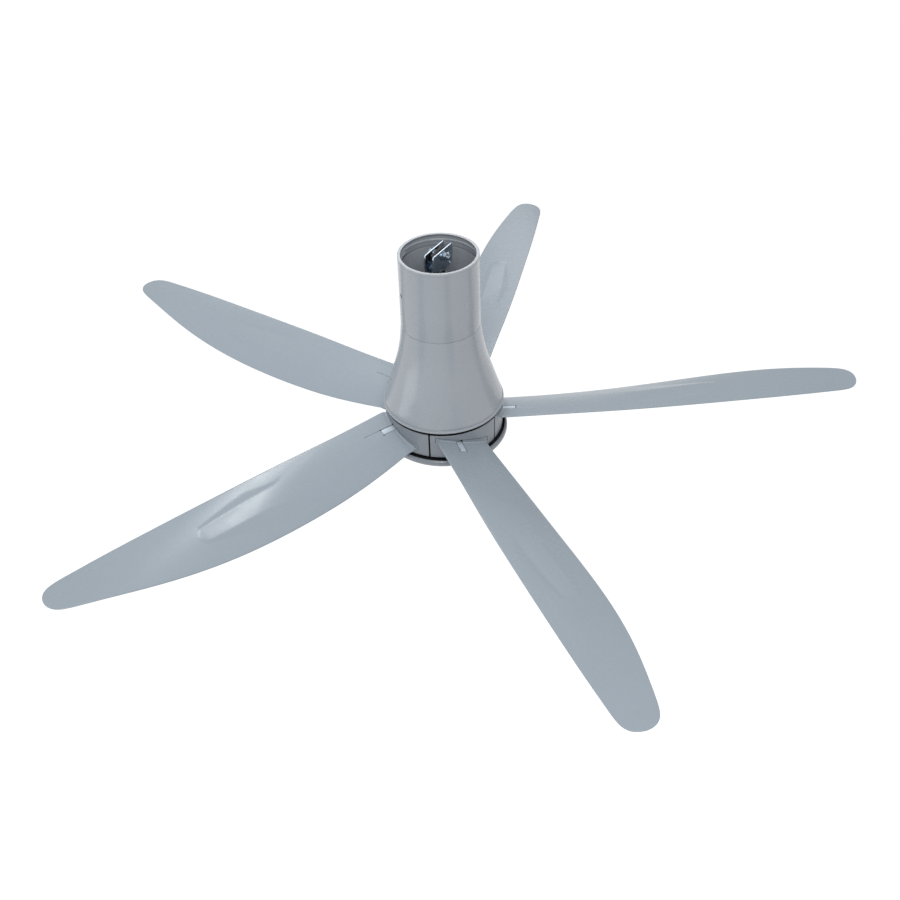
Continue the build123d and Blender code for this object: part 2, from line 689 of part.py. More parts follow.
def blade():
    """One blade at azimuth 0: the vane, its tab in the slot and the channel for its latch."""
    stations = (112, 200, 270, 340, 420, 500, 570, 620, 660, 700, 752)
    vane = loft([blade_section(x) for x in stations]) & tip_region()
    vane = vane + extrude(blade_section(ROOT_RADIUS), ROOT_RADIUS - TAB_X, dir=(-1, 0, 0))
    edges = (across(LEADING_EDGE, ROOT_RADIUS), across(TRAILING_EDGE, ROOT_RADIUS))
    for tab_y, edge in zip(TAB_Y, edges):
        near = TAB_SHOULDER_X[0]
        shoulder = TAB_SHOULDER_X[1]
        corner = Polyline(
            (near, tab_y), (shoulder, edge), (shoulder, 2 * edge), (70, 2 * edge), (70, tab_y), close=True
        )
        vane = vane - Pos(0, 0, ROOT_Z - 40) * extrude(make_face(corner), 80)
    half = CHANNEL_WIDTH / 2
    cut = block((TAB_X - 1, POCKET_X[1]), (-half, half), (-CHANNEL_DEPTH, 4))
    cut = cut + block((TAB_X - 1, RIVET_ROOM_X), (-half, half), (-POCKET_DEPTH, 0))
    cut = cut + block(POCKET_X, (-half, half), (-POCKET_DEPTH, 0))
    for side in (-half, half):
        cut = cut + upright(CORNER_HOLE_RADIUS, POCKET_X[1], side, -POCKET_DEPTH, 4)
    return vane - on_blade() * cut


def latch():
    """Flat steel strip with a turned-down lip, drilled for its rivet."""
    half = LATCH_WIDTH / 2
    low = -LATCH_SINK - LATCH_THICKNESS
    strip = block(LATCH_X, (-half, half), (low, -LATCH_SINK))
    strip = strip + block((LATCH_X[1] - LATCH_LIP[0], LATCH_X[1]), (-half, half), (-LATCH_LIP[1], low))
    top_edge = strip.edges().filter_by(Axis.Y).sort_by(Axis.X)[-2:].sort_by(Axis.Z)[-1]
    strip = fillet(top_edge, 0.8)
    strip = strip - Pos(RIVET_X, 0, 0) * Cylinder(RIVET_RADIUS + 0.35, 6)
    return on_blade() * strip


def latch_rivet():
    head_top = -LATCH_SINK - LATCH_THICKNESS - 0.9
    shank = upright(RIVET_RADIUS, RIVET_X, 0, head_top - 1, 6.9)
    head = upright(RIVET_HEAD[0], RIVET_X, 0, head_top - RIVET_HEAD[1], head_top)
    return on_blade() * (shank + head)


def bottom_cover():
    """Shallow round tray with a half-round rim and three hooks that grip the bracket."""
    middle = (COVER_TOP_Z + COVER_BOTTOM_Z) / 2
    bend = (COVER_TOP_Z - COVER_BOTTOM_Z) / 2
    edge = COVER_RADIUS - bend
    inner = bend - COVER_WALL
    under_lip = COVER_TOP_Z - COVER_WALL
    floor_z = COVER_BOTTOM_Z + COVER_WALL
    outside = ThreePointArc((edge, COVER_BOTTOM_Z), (COVER_RADIUS, middle), (edge, COVER_TOP_Z))
    mouth = COVER_MOUTH_RADIUS
    lip = Polyline((edge, COVER_TOP_Z), (mouth, COVER_TOP_Z), (mouth, under_lip), (edge, under_lip))
    inside = ThreePointArc((edge, under_lip), (edge + inner, middle), (edge, floor_z))
    floor = Polyline((edge, floor_z), (0, floor_z), (0, COVER_BOTTOM_Z), (edge, COVER_BOTTOM_Z))
    tray = revolve(Plane.XZ * make_face(outside + lip + inside + floor), Axis.Z)
    claw_low = STUD_TOP_Z + 0.1
    claw_top = STUD_TOP_Z + 1.7
    for k in range(3):
        post = block((BRACKET_RADIUS + 0.5, BRACKET_RADIUS + 2.7), (-7, 7), (floor_z - 0.5, claw_top))
        claw = block((BRACKET_RADIUS - 2.5, BRACKET_RADIUS + 2.7), (-7, 7), (claw_low, claw_top))
        tray = tray + Rot(0, 0, 30 + 120 * k) * (post + claw)
    x, y = polar(LENS_CIRCLE, LENS_ANGLE)
    return tray - upright(LENS_RADIUS, x, y, COVER_BOTTOM_Z - 1, COVER_BOTTOM_Z + COVER_WALL + 1)


def receiver_lens():
    x, y = polar(LENS_CIRCLE, LENS_ANGLE)
    body = upright(LENS_RADIUS, x, y, COVER_BOTTOM_Z - 2.6, COVER_BOTTOM_Z + COVER_WALL)
    return fillet(body.edges().group_by(Axis.Z)[0], 2.0)


def receiver_board():
    floor_z = COVER_BOTTOM_Z + COVER_WALL
    return Rot(0, 0, LENS_ANGLE) * block((78, 96), (-12, 12), (floor_z, floor_z + 1.6))


def lead_bundle():
    """Lead from the receiver along the cover, up the hollow shaft and out to the control box."""
    x, y = polar(77.9, LENS_ANGLE)
    floor = COVER_BOTTOM_Z + COVER_WALL + 1.4
    box_wall = (BOX_X[0] + BOX_WALL, 0, LEAD_EXIT_Z)
    route = FilletPolyline((x, y, floor), (0, 0, floor), (0, 0, LEAD_EXIT_Z), box_wall, radius=6.0)
    return sweep(Plane(route @ 0, z_dir=route % 0) * Circle(1.2), route)


def cover_bracket():
    return ring(STUD_RADIUS + 0.1, BRACKET_RADIUS, STUD_TOP_Z - 2.5, STUD_TOP_Z)


def cover_nut():
    top = STUD_TOP_Z - 2.5
    face = RegularPolygon(9.5, 6, major_radius=False) - Circle(STUD_RADIUS + 0.02)
    return Pos(0, 0, top - 4.2) * extrude(face, 4.2)


def save(node, shape):
    """Write one node; a list becomes a group of separate solids."""
    if isinstance(shape, list):
        shape = Compound(children=[solid for item in shape for solid in item.solids()])
    export_step(shape, "parts/" + node + ".step")
    print(node, "solids", len(shape.solids()), "volume", round(shape.volume))


def main():
    plate_face = CHEEK_GAP / 2 + PLATE_THICKNESS
    washer_face = plate_face + WASHER_THICKNESS
    save("hanger_bracket", hanger_bracket())
    save("rubber_saddle", rubber_saddle())
    save("saddle_sleeve", saddle_sleeve())
    save("hanger_bolt", bolt(BOLT_Z, washer_face, BOLT_END_Y, PIN_Y))
    save("hanger_nut", nut(BOLT_Z, -washer_face))
    save("hanger_washers", [hanger_washer(side) for side in (-1, 1)])
    save("split_pins", [split_pin(PIN_Y, BOLT_Z), split_pin(CROSS_PIN_Y, CROSS_BOLT_Z)])
    save("down_pipe", down_pipe())
    save("motor_coupling", motor_coupling())
    save("coupling_bolt", bolt(CROSS_BOLT_Z, CROSS_FACE_Y, CROSS_BOLT_END_Y, CROSS_PIN_Y))
    save("coupling_nut", nut(CROSS_BOLT_Z, -CROSS_FACE_Y))
    save("carrier_plate", carrier_plate())
    places = carrier_screw_places()
    tip = FLANGE_BOTTOM_Z + 0.5
    save("carrier_screws", [headed_screw(x, y, CARRIER_TOP_Z, tip, 2.5, 4.4, 3.0) for x, y in places])
    save("lower_canopy", lower_canopy())
    places = canopy_screw_places()
    tip = SHELF_TOP_Z - 0.4
    save("canopy_screws", [headed_screw(x, y, FLANGE_TOP_Z, tip, 2.0, 3.8, 2.4) for x, y in places])
    save("upper_canopy", upper_canopy())

    save("control_box", control_box())
    save("control_box_lid", control_box_lid())
    places = box_screw_places()
    lid_top = BOX_TOP_Z + BOX_WALL
    tip = BOX_TOP_Z - 7
    save("box_screws", [headed_screw(x, y, lid_top, tip, 1.5, 2.8, 1.8) for x, y in places])
    save("control_board", control_board())
    save("board_parts", board_parts())
    save("terminal_block", terminal_block())

    save("motor_shaft", motor_shaft())
    save("bearing_inner_rings", [race(z, SHAFT_RADIUS, BALL_CIRCLE - 2.0) for z in BEARING_Z])
    save("bearing_outer_rings", [race(z, BALL_CIRCLE + 2.0, BEARING_OUTER_RADIUS) for z in BEARING_Z])
    save("bearing_balls", [ball for z in BEARING_Z for ball in bearing_balls(z)])
    save("bearing_cages", [bearing_cage(z) for z in BEARING_Z])
    save("stator_hub", ring(SHAFT_RADIUS, 14, STATOR_Z - 14, STATOR_Z + 14))
    save("stator_core", stator_core())
    save("stator_windings", stator_windings())
    save("lead_bundle", lead_bundle())

    save("rotor_cup", rotor_cup())
    save("rotor_cover", rotor_cover())
    places = cover_screw_places()
    lid_top = CUP_TOP_Z + WALL
    tip = CUP_TOP_Z - WALL + 0.3
    save("rotor_cover_screws", [headed_screw(x, y, lid_top, tip, 1.5, 2.9, 1.8) for x, y in places])
    magnet_low = STATOR_Z - 16
    save("magnet_ring", ring(CUP_BORE - MAGNET_THICKNESS, CUP_BORE, magnet_low, magnet_low + 32))
    places = socket_screw_places()
    under = BASE_FLANGE_Z[0]
    tip = BASE_FLANGE_Z[1] + 8.5
    save("socket_screws", [headed_screw(x, y, under, tip, 2.0, 3.9, 2.0) for x, y in places])

    socket = blade_socket()
    vane = blade()
    strip = latch()
    rivet = latch_rivet()
    rivets = []
    for k in range(BLADE_COUNT):
        turn = Rot(0, 0, blade_angle(k))
        number = str(k + 1)
        save("blade_socket_" + number, turn * socket)
        save("blade_" + number, turn * vane)
        save("latch_" + number, turn * strip)
        rivets.append(turn * rivet)
    save("latch_rivets", rivets)

    save("cover_bracket", cover_bracket())
    save("cover_nut", cover_nut())
    save("bottom_cover", bottom_cover())
    save("receiver_board", receiver_board())
    save("receiver_lens", receiver_lens())


main()
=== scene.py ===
# %% [markdown]
# A five-blade ceiling fan, dressed for its picture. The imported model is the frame: it says how large
# every piece is, where it sits and what it moves with. This lesson makes the surfaces that show as
# numpy surfaces, gives every piece a procedural finish, and lights the fan for its portrait.

# %% Load the frame
import math

import bmesh
import bpy
import numpy as np
from mathutils import Matrix


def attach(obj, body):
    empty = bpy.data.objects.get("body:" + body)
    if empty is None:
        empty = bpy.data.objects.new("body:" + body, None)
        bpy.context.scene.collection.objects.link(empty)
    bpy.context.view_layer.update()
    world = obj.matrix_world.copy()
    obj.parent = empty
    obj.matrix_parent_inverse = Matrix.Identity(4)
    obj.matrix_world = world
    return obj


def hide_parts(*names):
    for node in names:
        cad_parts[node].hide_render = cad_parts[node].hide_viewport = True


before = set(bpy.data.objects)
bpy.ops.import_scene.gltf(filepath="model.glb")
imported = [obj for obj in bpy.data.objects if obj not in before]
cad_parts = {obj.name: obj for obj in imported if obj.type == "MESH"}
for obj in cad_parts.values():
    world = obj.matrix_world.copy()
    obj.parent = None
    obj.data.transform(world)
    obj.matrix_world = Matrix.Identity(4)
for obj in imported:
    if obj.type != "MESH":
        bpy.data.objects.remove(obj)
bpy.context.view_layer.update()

MM = 0.001
BLADE_COUNT = 5
FIRST_BLADE_ANGLE = 14.1
BLADES = [(k + 1, FIRST_BLADE_ANGLE + 360 * k / BLADE_COUNT) for k in range(BLADE_COUNT)]

# %% [markdown]
# The camera comes first, because it settles how much of every piece shows. It looks down at about
# forty degrees from a little under two metres. The picture's centre is not quite where the lens
# points, so the lens is shifted by a few pixels, and the camera is rolled by not quite two degrees.

# %% Camera
IMAGE_SIZE = 900
FOCAL_PIXELS = 1038.85
LENS_POINT = (454.61, 443.9)
TARGET_PIXEL = (444.58, 420.33)
TARGET = np.array([0.0, 0.0, -334.0])
CAMERA_DISTANCE = 1907.36
CAMERA_ELEVATION = math.radians(40.61)
CAMERA_HEADING = math.radians(32.37)
CAMERA_ROLL = math.radians(-1.73)
SENSOR_WIDTH = 36.0


def camera_axes():
    """The camera's right, up and forward directions, from heading, elevation and roll."""
    level = np.array([math.cos(CAMERA_HEADING), math.sin(CAMERA_HEADING), 0.0])
    forward = math.cos(CAMERA_ELEVATION) * level - math.sin(CAMERA_ELEVATION) * np.array([0, 0, 1.0])
    right = np.array([level[1], -level[0], 0.0])
    up = np.cross(right, forward)
    cos_roll, sin_roll = math.cos(CAMERA_ROLL), math.sin(CAMERA_ROLL)
    return cos_roll * right + sin_roll * up, cos_roll * up - sin_roll * right, forward


def place_camera():
    """Stands the camera so that the target point falls on the target pixel."""
    right, up, forward = camera_axes()
    aside = (TARGET_PIXEL[0] - LENS_POINT[0]) / FOCAL_PIXELS * CAMERA_DISTANCE
    below = (TARGET_PIXEL[1] - LENS_POINT[1]) / FOCAL_PIXELS * CAMERA_DISTANCE
    place = TARGET - (aside * right - below * up + CAMERA_DISTANCE * forward)
    data = bpy.data.cameras.new("camera")
    data.sensor_width = SENSOR_WIDTH
    data.lens = FOCAL_PIXELS * SENSOR_WIDTH / IMAGE_SIZE
    data.shift_x = (IMAGE_SIZE / 2 - LENS_POINT[0]) / IMAGE_SIZE
    data.shift_y = (LENS_POINT[1] - IMAGE_SIZE / 2) / IMAGE_SIZE
    data.clip_end = 100
    camera = bpy.data.objects.new("camera", data)
    columns = np.eye(4)
    columns[:3, :3] = np.stack([right, up, -forward], 1)
    columns[:3, 3] = place * MM
    camera.matrix_world = Matrix(columns.tolist())
    bpy.context.scene.collection.objects.link(camera)
    bpy.context.scene.camera = camera
    return place


print("camera at", place_camera().round(1), "mm")

# %% [markdown]
# Every new surface is an array of points and an array of faces. A sheet of rows and columns is the
# commonest: a shape is a function of two parameters, and the faces only join neighbours. Doubled
# points are welded afterwards, which closes seams and poles, and then the faces are turned outwards.

# %% Sheets, welding and shading
SHARP_ANGLE = math.radians(32)


def sheet_faces(rows, columns, close_rows=False, close_columns=False):
    """Four-cornered faces between neighbouring points of a sheet, with closing rows or columns."""
    r = np.arange(rows if close_rows else rows - 1)[:, None]
    c = np.arange(columns if close_columns else columns - 1)[None, :]
    r_next, c_next = (r + 1) % rows, (c + 1) % columns
    corners = (r * columns + c, r * columns + c_next, r_next * columns + c_next, r_next * columns + c)
    return np.stack(np.broadcast_arrays(*corners), -1).reshape(-1, 4)


def to_mesh(name, points, *face_sets, weld=0.004):
    """A mesh from points in millimetres; welded, and turned outwards."""
    points = np.asarray(points, float).reshape(-1, 3)
    corners = np.concatenate([np.asarray(f).ravel() for f in face_sets]).astype(np.int32)
    sizes = np.concatenate([np.full(len(f), np.asarray(f).shape[1]) for f in face_sets])
    mesh = bpy.data.meshes.new(name)
    mesh.vertices.add(len(points))
    mesh.vertices.foreach_set("co", (points * MM).ravel())
    mesh.loops.add(len(corners))
    mesh.loops.foreach_set("vertex_index", corners)
    mesh.polygons.add(len(sizes))
    mesh.polygons.foreach_set("loop_start", np.concatenate([[0], np.cumsum(sizes)[:-1]]).astype(np.int32))
    mesh.update(calc_edges=True)
    work = bmesh.new()
    work.from_mesh(mesh)
    bmesh.ops.remove_doubles(work, verts=work.verts, dist=weld * MM)
    bmesh.ops.recalc_face_normals(work, faces=work.faces)
    work.to_mesh(mesh)
    work.free()
    mesh.update()
    return mesh


def capped(name, rings):
    """A closed tube from a stack of equal rings of points, with its first and last ring filled."""
    rows, count = rings.shape[:2]
    ring = np.arange(count)
    ends = ring[None, ::-1], (ring + (rows - 1) * count)[None, :]
    return to_mesh(name, rings, sheet_faces(rows, count, close_columns=True), *ends, weld=0.0005)


def joined(name, meshes):
    """Several separate closed meshes as one."""
    work = bmesh.new()
    for mesh in meshes:
        work.from_mesh(mesh)
    whole = bpy.data.meshes.new(name)
    work.to_mesh(whole)
    work.free()
    return whole


def carve(mesh, tools, operation="DIFFERENCE"):
    """Cuts closed tool meshes out of a mesh, or adds them to it, and returns the new mesh."""
    body = bpy.data.objects.new("work", mesh)
    bpy.context.scene.collection.objects.link(body)
    holders = []
    for tool in tools:
        holder = bpy.data.objects.new("tool", tool)
        bpy.context.scene.collection.objects.link(holder)
        step = body.modifiers.new("step", "BOOLEAN")
        step.operation, step.object, step.solver = operation, holder, "EXACT"
        holders.append(holder)
    bpy.context.view_layer.update()
    ready = body.evaluated_get(bpy.context.evaluated_depsgraph_get())
    result = bpy.data.meshes.new_from_object(ready)
    for item in [body, *holders]:
        bpy.data.objects.remove(item)
    return result


def volume(mesh):
    """Signed volume in cubic centimetres: plus where the faces point outwards."""
    mesh.calc_loop_triangles()
    corners = np.zeros(len(mesh.loop_triangles) * 3, np.int32)
    mesh.loop_triangles.foreach_get("vertices", corners)
    places = np.zeros(len(mesh.vertices) * 3)
    mesh.vertices.foreach_get("co", places)
    a, b, c = np.moveaxis(places.reshape(-1, 3)[corners.reshape(-1, 3)], 1, 0)
    return float(np.einsum("ij,ij->i", a, np.cross(b, c)).sum() / 6) * 1e6


def mesh_edge_uses(mesh):
    """How many faces meet at each edge; two everywhere on a closed surface."""
    edges = np.zeros(len(mesh.loops), np.int32)
    mesh.loops.foreach_get("edge_index", edges)
    return np.bincount(edges, minlength=len(mesh.edges))


def show(name, mesh, body, finish, nodes, turn=0.0):
    """Puts a mesh in the scene as a piece: turned to its place, smooth, finished and riding."""
    if turn:
        mesh = mesh.copy()
        mesh.transform(Matrix.Rotation(math.radians(turn), 4, "Z"))
    mesh.materials.clear()
    mesh.materials.append(finish)
    mesh.shade_smooth()
    mesh.set_sharp_from_angle(angle=SHARP_ANGLE)
    mesh.name = name
    piece = bpy.data.objects.new(name, mesh)
    bpy.context.scene.collection.objects.link(piece)
    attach(piece, body)
    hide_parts(*nodes)
    loose = np.count_nonzero(mesh_edge_uses(mesh) != 2)
    print(f"{name}: {len(mesh.polygons)} faces, {volume(mesh):.2f} cm3, open edges {loose}")
    return piece


def second_finish(piece, finish, reach, low):
    """Gives a second finish to the faces nearer to the axis than the reach and above the low height."""
    mesh = piece.data
    mesh.materials.append(finish)
    centres = np.zeros(len(mesh.polygons) * 3)
    mesh.polygons.foreach_get("center", centres)
    x, y, z = centres.reshape(-1, 3).T / MM
    inside = (np.hypot(x, y) < reach) & (z > low)
    mesh.polygons.foreach_set("material_index", inside.astype(np.int32))
    print(f"{piece.name}: {inside.sum()} faces {finish.name}")


# %% [markdown]
# Most of the fan's visible shapes are turned or extruded. A turned shape is a profile carried round
# the axis; an extruded one is an outline carried straight. Real mouldings and pressings have no
# knife edges, so both start from outlines whose corners are replaced by small arcs.

# %% Outlines, turning and extruding
def rounded(corners, radii, steps=5, closed=True):
    """Outline of straight runs whose corners are bridged by arcs: each corner is cut back by
    radius * tan(half its turn), and the arc turns the run's direction by the corner's angle."""
    corners = np.asarray(corners, float)
    radii = np.broadcast_to(np.asarray(radii, float), len(corners))
    into = corners - np.roll(corners, 1, 0)
    out = np.roll(corners, -1, 0) - corners
    if not closed:
        into[0], out[-1] = out[0], into[-1]
    into /= np.linalg.norm(into, axis=1, keepdims=True)
    out /= np.linalg.norm(out, axis=1, keepdims=True)
    turn = np.arctan2(into[:, 0] * out[:, 1] - into[:, 1] * out[:, 0], (into * out).sum(1))
    start = corners - into * (radii * np.tan(abs(turn) / 2))[:, None]
    side = np.stack([-into[:, 1], into[:, 0]], 1) * np.sign(turn)[:, None]
    centre = start + side * radii[:, None]
    angle = turn[:, None] * np.linspace(0, 1, steps + 1)[None, :]
    arm = (start - centre)[:, None, :]
    cos, sin = np.cos(angle)[..., None], np.sin(angle)[..., None]
    swung = arm * cos + np.stack([-arm[..., 1], arm[..., 0]], -1) * sin
    return without_repeats((centre[:, None, :] + swung).reshape(-1, 2), closed)


def without_repeats(outline, closed=True):
    """The outline without points that repeat the one before them."""
    fresh = np.linalg.norm(outline - np.roll(outline, 1, 0), axis=1) > 1e-6
    fresh[0] = fresh[0] or not closed
    return outline[fresh]


def chord_lengths(points):
    """The way from the first point to each point, in straight runs."""
    return np.concatenate([[0], np.cumsum(np.linalg.norm(np.diff(points, axis=0), axis=1))])


def natural_spline(points, samples):
    """Smooth curve through points, by chord length: the cubic with no bending at its two ends."""
    points = np.asarray(points, float)
    along = chord_lengths(points)
    gap = np.diff(along)
    count = len(points)
    system, right = np.eye(count), np.zeros((count, points.shape[1]))
    slope = np.diff(points, axis=0) / gap[:, None]
    inner = np.arange(1, count - 1)
    system[inner, inner - 1], system[inner, inner + 1] = gap[:-1], gap[1:]
    system[inner, inner] = 2 * (gap[:-1] + gap[1:])
    right[1:-1] = 6 * np.diff(slope, axis=0)
    bend = np.linalg.solve(system, right)
    t = np.linspace(0, along[-1], samples)
    k = np.clip(np.searchsorted(along, t) - 1, 0, count - 2)
    before, after, h = (t - along[k])[:, None], (along[k + 1] - t)[:, None], gap[k][:, None]
    curve = (bend[k] * after**3 + bend[k + 1] * before**3) / (6 * h)
    curve += (points[k] / h - bend[k] * h / 6) * after
    return curve + (points[k + 1] / h - bend[k + 1] * h / 6) * before


def lathe(name, profile, steps, start=0.0, sweep=360.0, solid=False):
    """Turned shape: the point (radius, height) at angle a goes to (r cos a, r sin a, height).
    A solid's profile starts and ends on the axis; any other profile closes on itself."""
    profile = np.asarray(profile, float)
    full = sweep == 360.0
    a = np.radians(start + sweep * np.linspace(0, 1, steps + (0 if full else 1), endpoint=not full))
    r, z = profile[:, 0][:, None], profile[:, 1][:, None]
    points = np.stack(np.broadcast_arrays(r * np.cos(a), r * np.sin(a), z), -1)
    faces = sheet_faces(len(profile), len(a), close_rows=not solid, close_columns=full)
    if full:
        return to_mesh(name, points, faces)
    ring = np.arange(len(profile)) * len(a)
    return to_mesh(name, points, faces, ring[None, :], (ring + len(a) - 1)[None, ::-1])


def prism(name, outline, low, high, edge=0.0):
    """Upright extruded shape. Near each end the outline is drawn in along its normals by
    edge * (1 - cos), while its height changes by edge * (1 - sin), which rounds the rim."""
    outline = anticlockwise(outline)
    normal = outline_normals(outline)
    angle = np.linspace(math.pi / 2, 0, 4) if edge else np.array([0.0])
    inset, drop = edge * (1 - np.cos(angle)), edge * (1 - np.sin(angle))
    level = np.concatenate([low + drop, (high - drop)[::-1]])
    inset = np.concatenate([inset, inset[::-1]])
    ring = outline[None] - inset[:, None, None] * normal[None]
    heights = np.broadcast_to(level[:, None, None], (*ring.shape[:2], 1))
    return capped(name, np.concatenate([ring, heights], -1))


def anticlockwise(outline):
    """The outline, turned round if its signed area is negative."""
    outline = np.asarray(outline, float)
    x, y = outline.T
    return outline if (x * np.roll(y, -1) - y * np.roll(x, -1)).sum() > 0 else outline[::-1]


def outline_normals(outline):
    """Outward directions of an outline that runs anticlockwise."""
    run = np.roll(outline, -1, 0) - np.roll(outline, 1, 0)
    return np.stack([run[:, 1], -run[:, 0]], 1) / np.linalg.norm(run, axis=1, keepdims=True)


def circle(radius, x=0.0, y=0.0, count=48):
    """Points round a circle."""
    a = 2 * math.pi * np.arange(count) / count
    return np.stack([x + radius * np.cos(a), y + radius * np.sin(a)], 1)


def on_circle(radius, angle):
    """The place at an angle, in degrees, on a circle round the axis."""
    a = math.radians(angle)
    return radius * np.array([math.cos(a), math.sin(a)])


def rectangle(x0, x1, y0, y1, radius=0.0):
    """Rectangle with rounded corners."""
    return rounded([(x0, y0), (x1, y0), (x1, y1), (x0, y1)], radius)


def placed(mesh, *steps):
    """Moves a mesh by 4 x 4 matrices, the last one first."""
    whole = Matrix.Identity(4)
    for step in steps:
        whole = whole @ step
    mesh.transform(whole)
    return mesh


def shift(x, y, z):
    """The matrix that moves a mesh by millimetres."""
    return Matrix.Translation((x * MM, y * MM, z * MM))


def turned(angle, axis):
    """The matrix that turns a mesh by degrees round an axis through the origin."""
    return Matrix.Rotation(math.radians(angle), 4, axis)


# %% [markdown]
# Finishes. A moulded plastic is never one flat colour: it has a faint mottling, a fine grain that
# breaks the gloss, and places where the gloss is a little duller. All of it is noise on the piece's
# own coordinates, in metres, so the grain has its true size and turns with the piece.

# %% Plastic, rubber and metal finishes
def new_material(name):
    """A material with its tree, its shader and the place on the piece that patterns read."""
    material = bpy.data.materials.new(name)
    material.use_nodes = True
    tree = material.node_tree
    shader = tree.nodes["Principled BSDF"]
    place = tree.nodes.new("ShaderNodeTexCoord").outputs["Object"]
    return material, tree, shader, place


def noise(tree, place, scale, detail=3.0, roughness=0.55, stretch=None):
    """Noise on the piece; stretch makes it finer along the axes with larger numbers."""
    if stretch:
        mapping = tree.nodes.new("ShaderNodeMapping")
        mapping.inputs["Scale"].default_value = stretch
        tree.links.new(place, mapping.inputs["Vector"])
        place = mapping.outputs["Vector"]
    node = tree.nodes.new("ShaderNodeTexNoise")
    node.inputs["Scale"].default_value = scale
    node.inputs["Detail"].default_value = detail
    node.inputs["Roughness"].default_value = roughness
    tree.links.new(place, node.inputs["Vector"])
    return node.outputs["Fac"]


def between(tree, factor, low, high, start=0.3, end=0.7):
    """A number that goes from low to high as the factor goes from start to end."""
    node = tree.nodes.new("ShaderNodeMapRange")
    for socket, value in zip(("From Min", "From Max", "To Min", "To Max"), (start, end, low, high)):
        node.inputs[socket].default_value = value
    tree.links.new(factor, node.inputs["Value"])
    return node.outputs["Result"]


def tones(tree, factor, dark, light, start=0.3, end=0.7):
    """A colour that goes from the dark tone to the light one."""
    node = tree.nodes.new("ShaderNodeMix")
    node.data_type = "RGBA"
    a, b = [s for s in node.inputs if s.type == "RGBA"]
    a.default_value, b.default_value = (*dark, 1), (*light, 1)
    tree.links.new(between(tree, factor, 0, 1, start, end), node.inputs["Factor"])
    return [s for s in node.outputs if s.type == "RGBA"][0]


def relief(tree, shader, height, depth):
    """Bump: the height is a share of depth, in metres."""
    node = tree.nodes.new("ShaderNodeBump")
    node.inputs["Distance"].default_value = depth
    tree.links.new(height, node.inputs["Height"])
    tree.links.new(node.outputs["Normal"], shader.inputs["Normal"])


def finish(name, colour, roughness, metallic=0.0, mottle=0.03, spread=0.05, cloud=9.0, grain=900.0,
           depth=0.00002, stretch=None, coat=0.0, coat_roughness=0.15):
    """A finish: a colour with light and dark clouds, uneven gloss and a fine grain."""
    material, tree, shader, place = new_material(name)
    colour = np.array(colour)
    clouds = noise(tree, place, cloud, 4.0)
    colours = tones(tree, clouds, colour * (1 - mottle), colour * (1 + mottle))
    tree.links.new(colours, shader.inputs["Base Color"])
    wear = noise(tree, place, cloud * 4.3, 5.0, 0.6, stretch)
    tree.links.new(between(tree, wear, roughness - spread, roughness + spread), shader.inputs["Roughness"])
    relief(tree, shader, noise(tree, place, grain, 2.0, 0.5, stretch), depth)
    shader.inputs["Metallic"].default_value = metallic
    shader.inputs["Coat Weight"].default_value = coat
    shader.inputs["Coat Roughness"].default_value = coat_roughness
    return material


CANOPY = finish("canopy_grey", (0.362, 0.390, 0.425), 0.28, mottle=0.012, spread=0.03, grain=1500.0,
                depth=0.0000015, coat=0.3, coat_roughness=0.12)
# The cover's grey is darker than the blades' plastic: painted shade of the hub and blades above it
COVER = finish("cover_grey_with_painted_shade", (0.225, 0.246, 0.274), 0.30, mottle=0.012, spread=0.04, grain=1500.0,
               depth=0.000003, coat=0.5)
BLADE = finish("blade_blue_grey", (0.343, 0.396, 0.447), 0.27, mottle=0.015, spread=0.02, cloud=8.0,
               grain=1400.0, depth=0.0000012)
# The hub's grey is darker than the blades' plastic: painted shade of the bell above it
HUB = finish("hub_grey_with_painted_shade", (0.250, 0.275, 0.308), 0.38, mottle=0.02, grain=1500.0, depth=0.000006)
ZINC = finish("zinc_plate", (0.46, 0.53, 0.61), 0.24, 1.0, mottle=0.05, spread=0.05, cloud=60.0,
              grain=2600.0, depth=0.000002)
SPRING = finish("spring_strip", (0.63, 0.71, 0.80), 0.40, 0.25, mottle=0.02, spread=0.03, cloud=60.0,
                grain=2600.0, depth=0.000001)
RUBBER = finish("black_rubber", (0.018, 0.018, 0.020), 0.62, mottle=0.2, cloud=80.0, grain=1800.0,
                depth=0.00004)
PIPE = finish("painted_pipe", (0.24, 0.26, 0.28), 0.45, mottle=0.05, cloud=30.0)
CASTING = finish("cast_coupling", (0.30, 0.31, 0.32), 0.55, 0.85, mottle=0.08, cloud=60.0, grain=700.0,
                 depth=0.00012)
SHAFT = finish("ground_shaft", (0.58, 0.58, 0.57), 0.22, 1.0, mottle=0.03, cloud=40.0, stretch=(1, 1, 6))
BALL = finish("polished_ball", (0.72, 0.72, 0.72), 0.08, 1.0, mottle=0.01, spread=0.02, depth=0.000001)
BRASS = finish("cage_brass", (0.60, 0.42, 0.16), 0.32, 1.0, mottle=0.06, cloud=90.0)
MAGNET = finish("dark_magnet", (0.045, 0.045, 0.05), 0.6, 0.2, mottle=0.15, cloud=70.0, grain=600.0,
                depth=0.00005)
ROTOR = finish("painted_rotor", (0.035, 0.036, 0.038), 0.38, mottle=0.08, cloud=25.0, grain=1500.0)
BOX = finish("box_plastic", (0.62, 0.62, 0.60), 0.5, mottle=0.02, grain=1000.0, depth=0.00003)
PART_BLACK = finish("part_black", (0.03, 0.03, 0.035), 0.42, mottle=0.1, cloud=90.0)
TERMINAL = finish("terminal_white", (0.70, 0.69, 0.65), 0.45, mottle=0.03, cloud=60.0)
LEAD = finish("lead_cover", (0.06, 0.06, 0.065), 0.5, mottle=0.1, cloud=60.0)
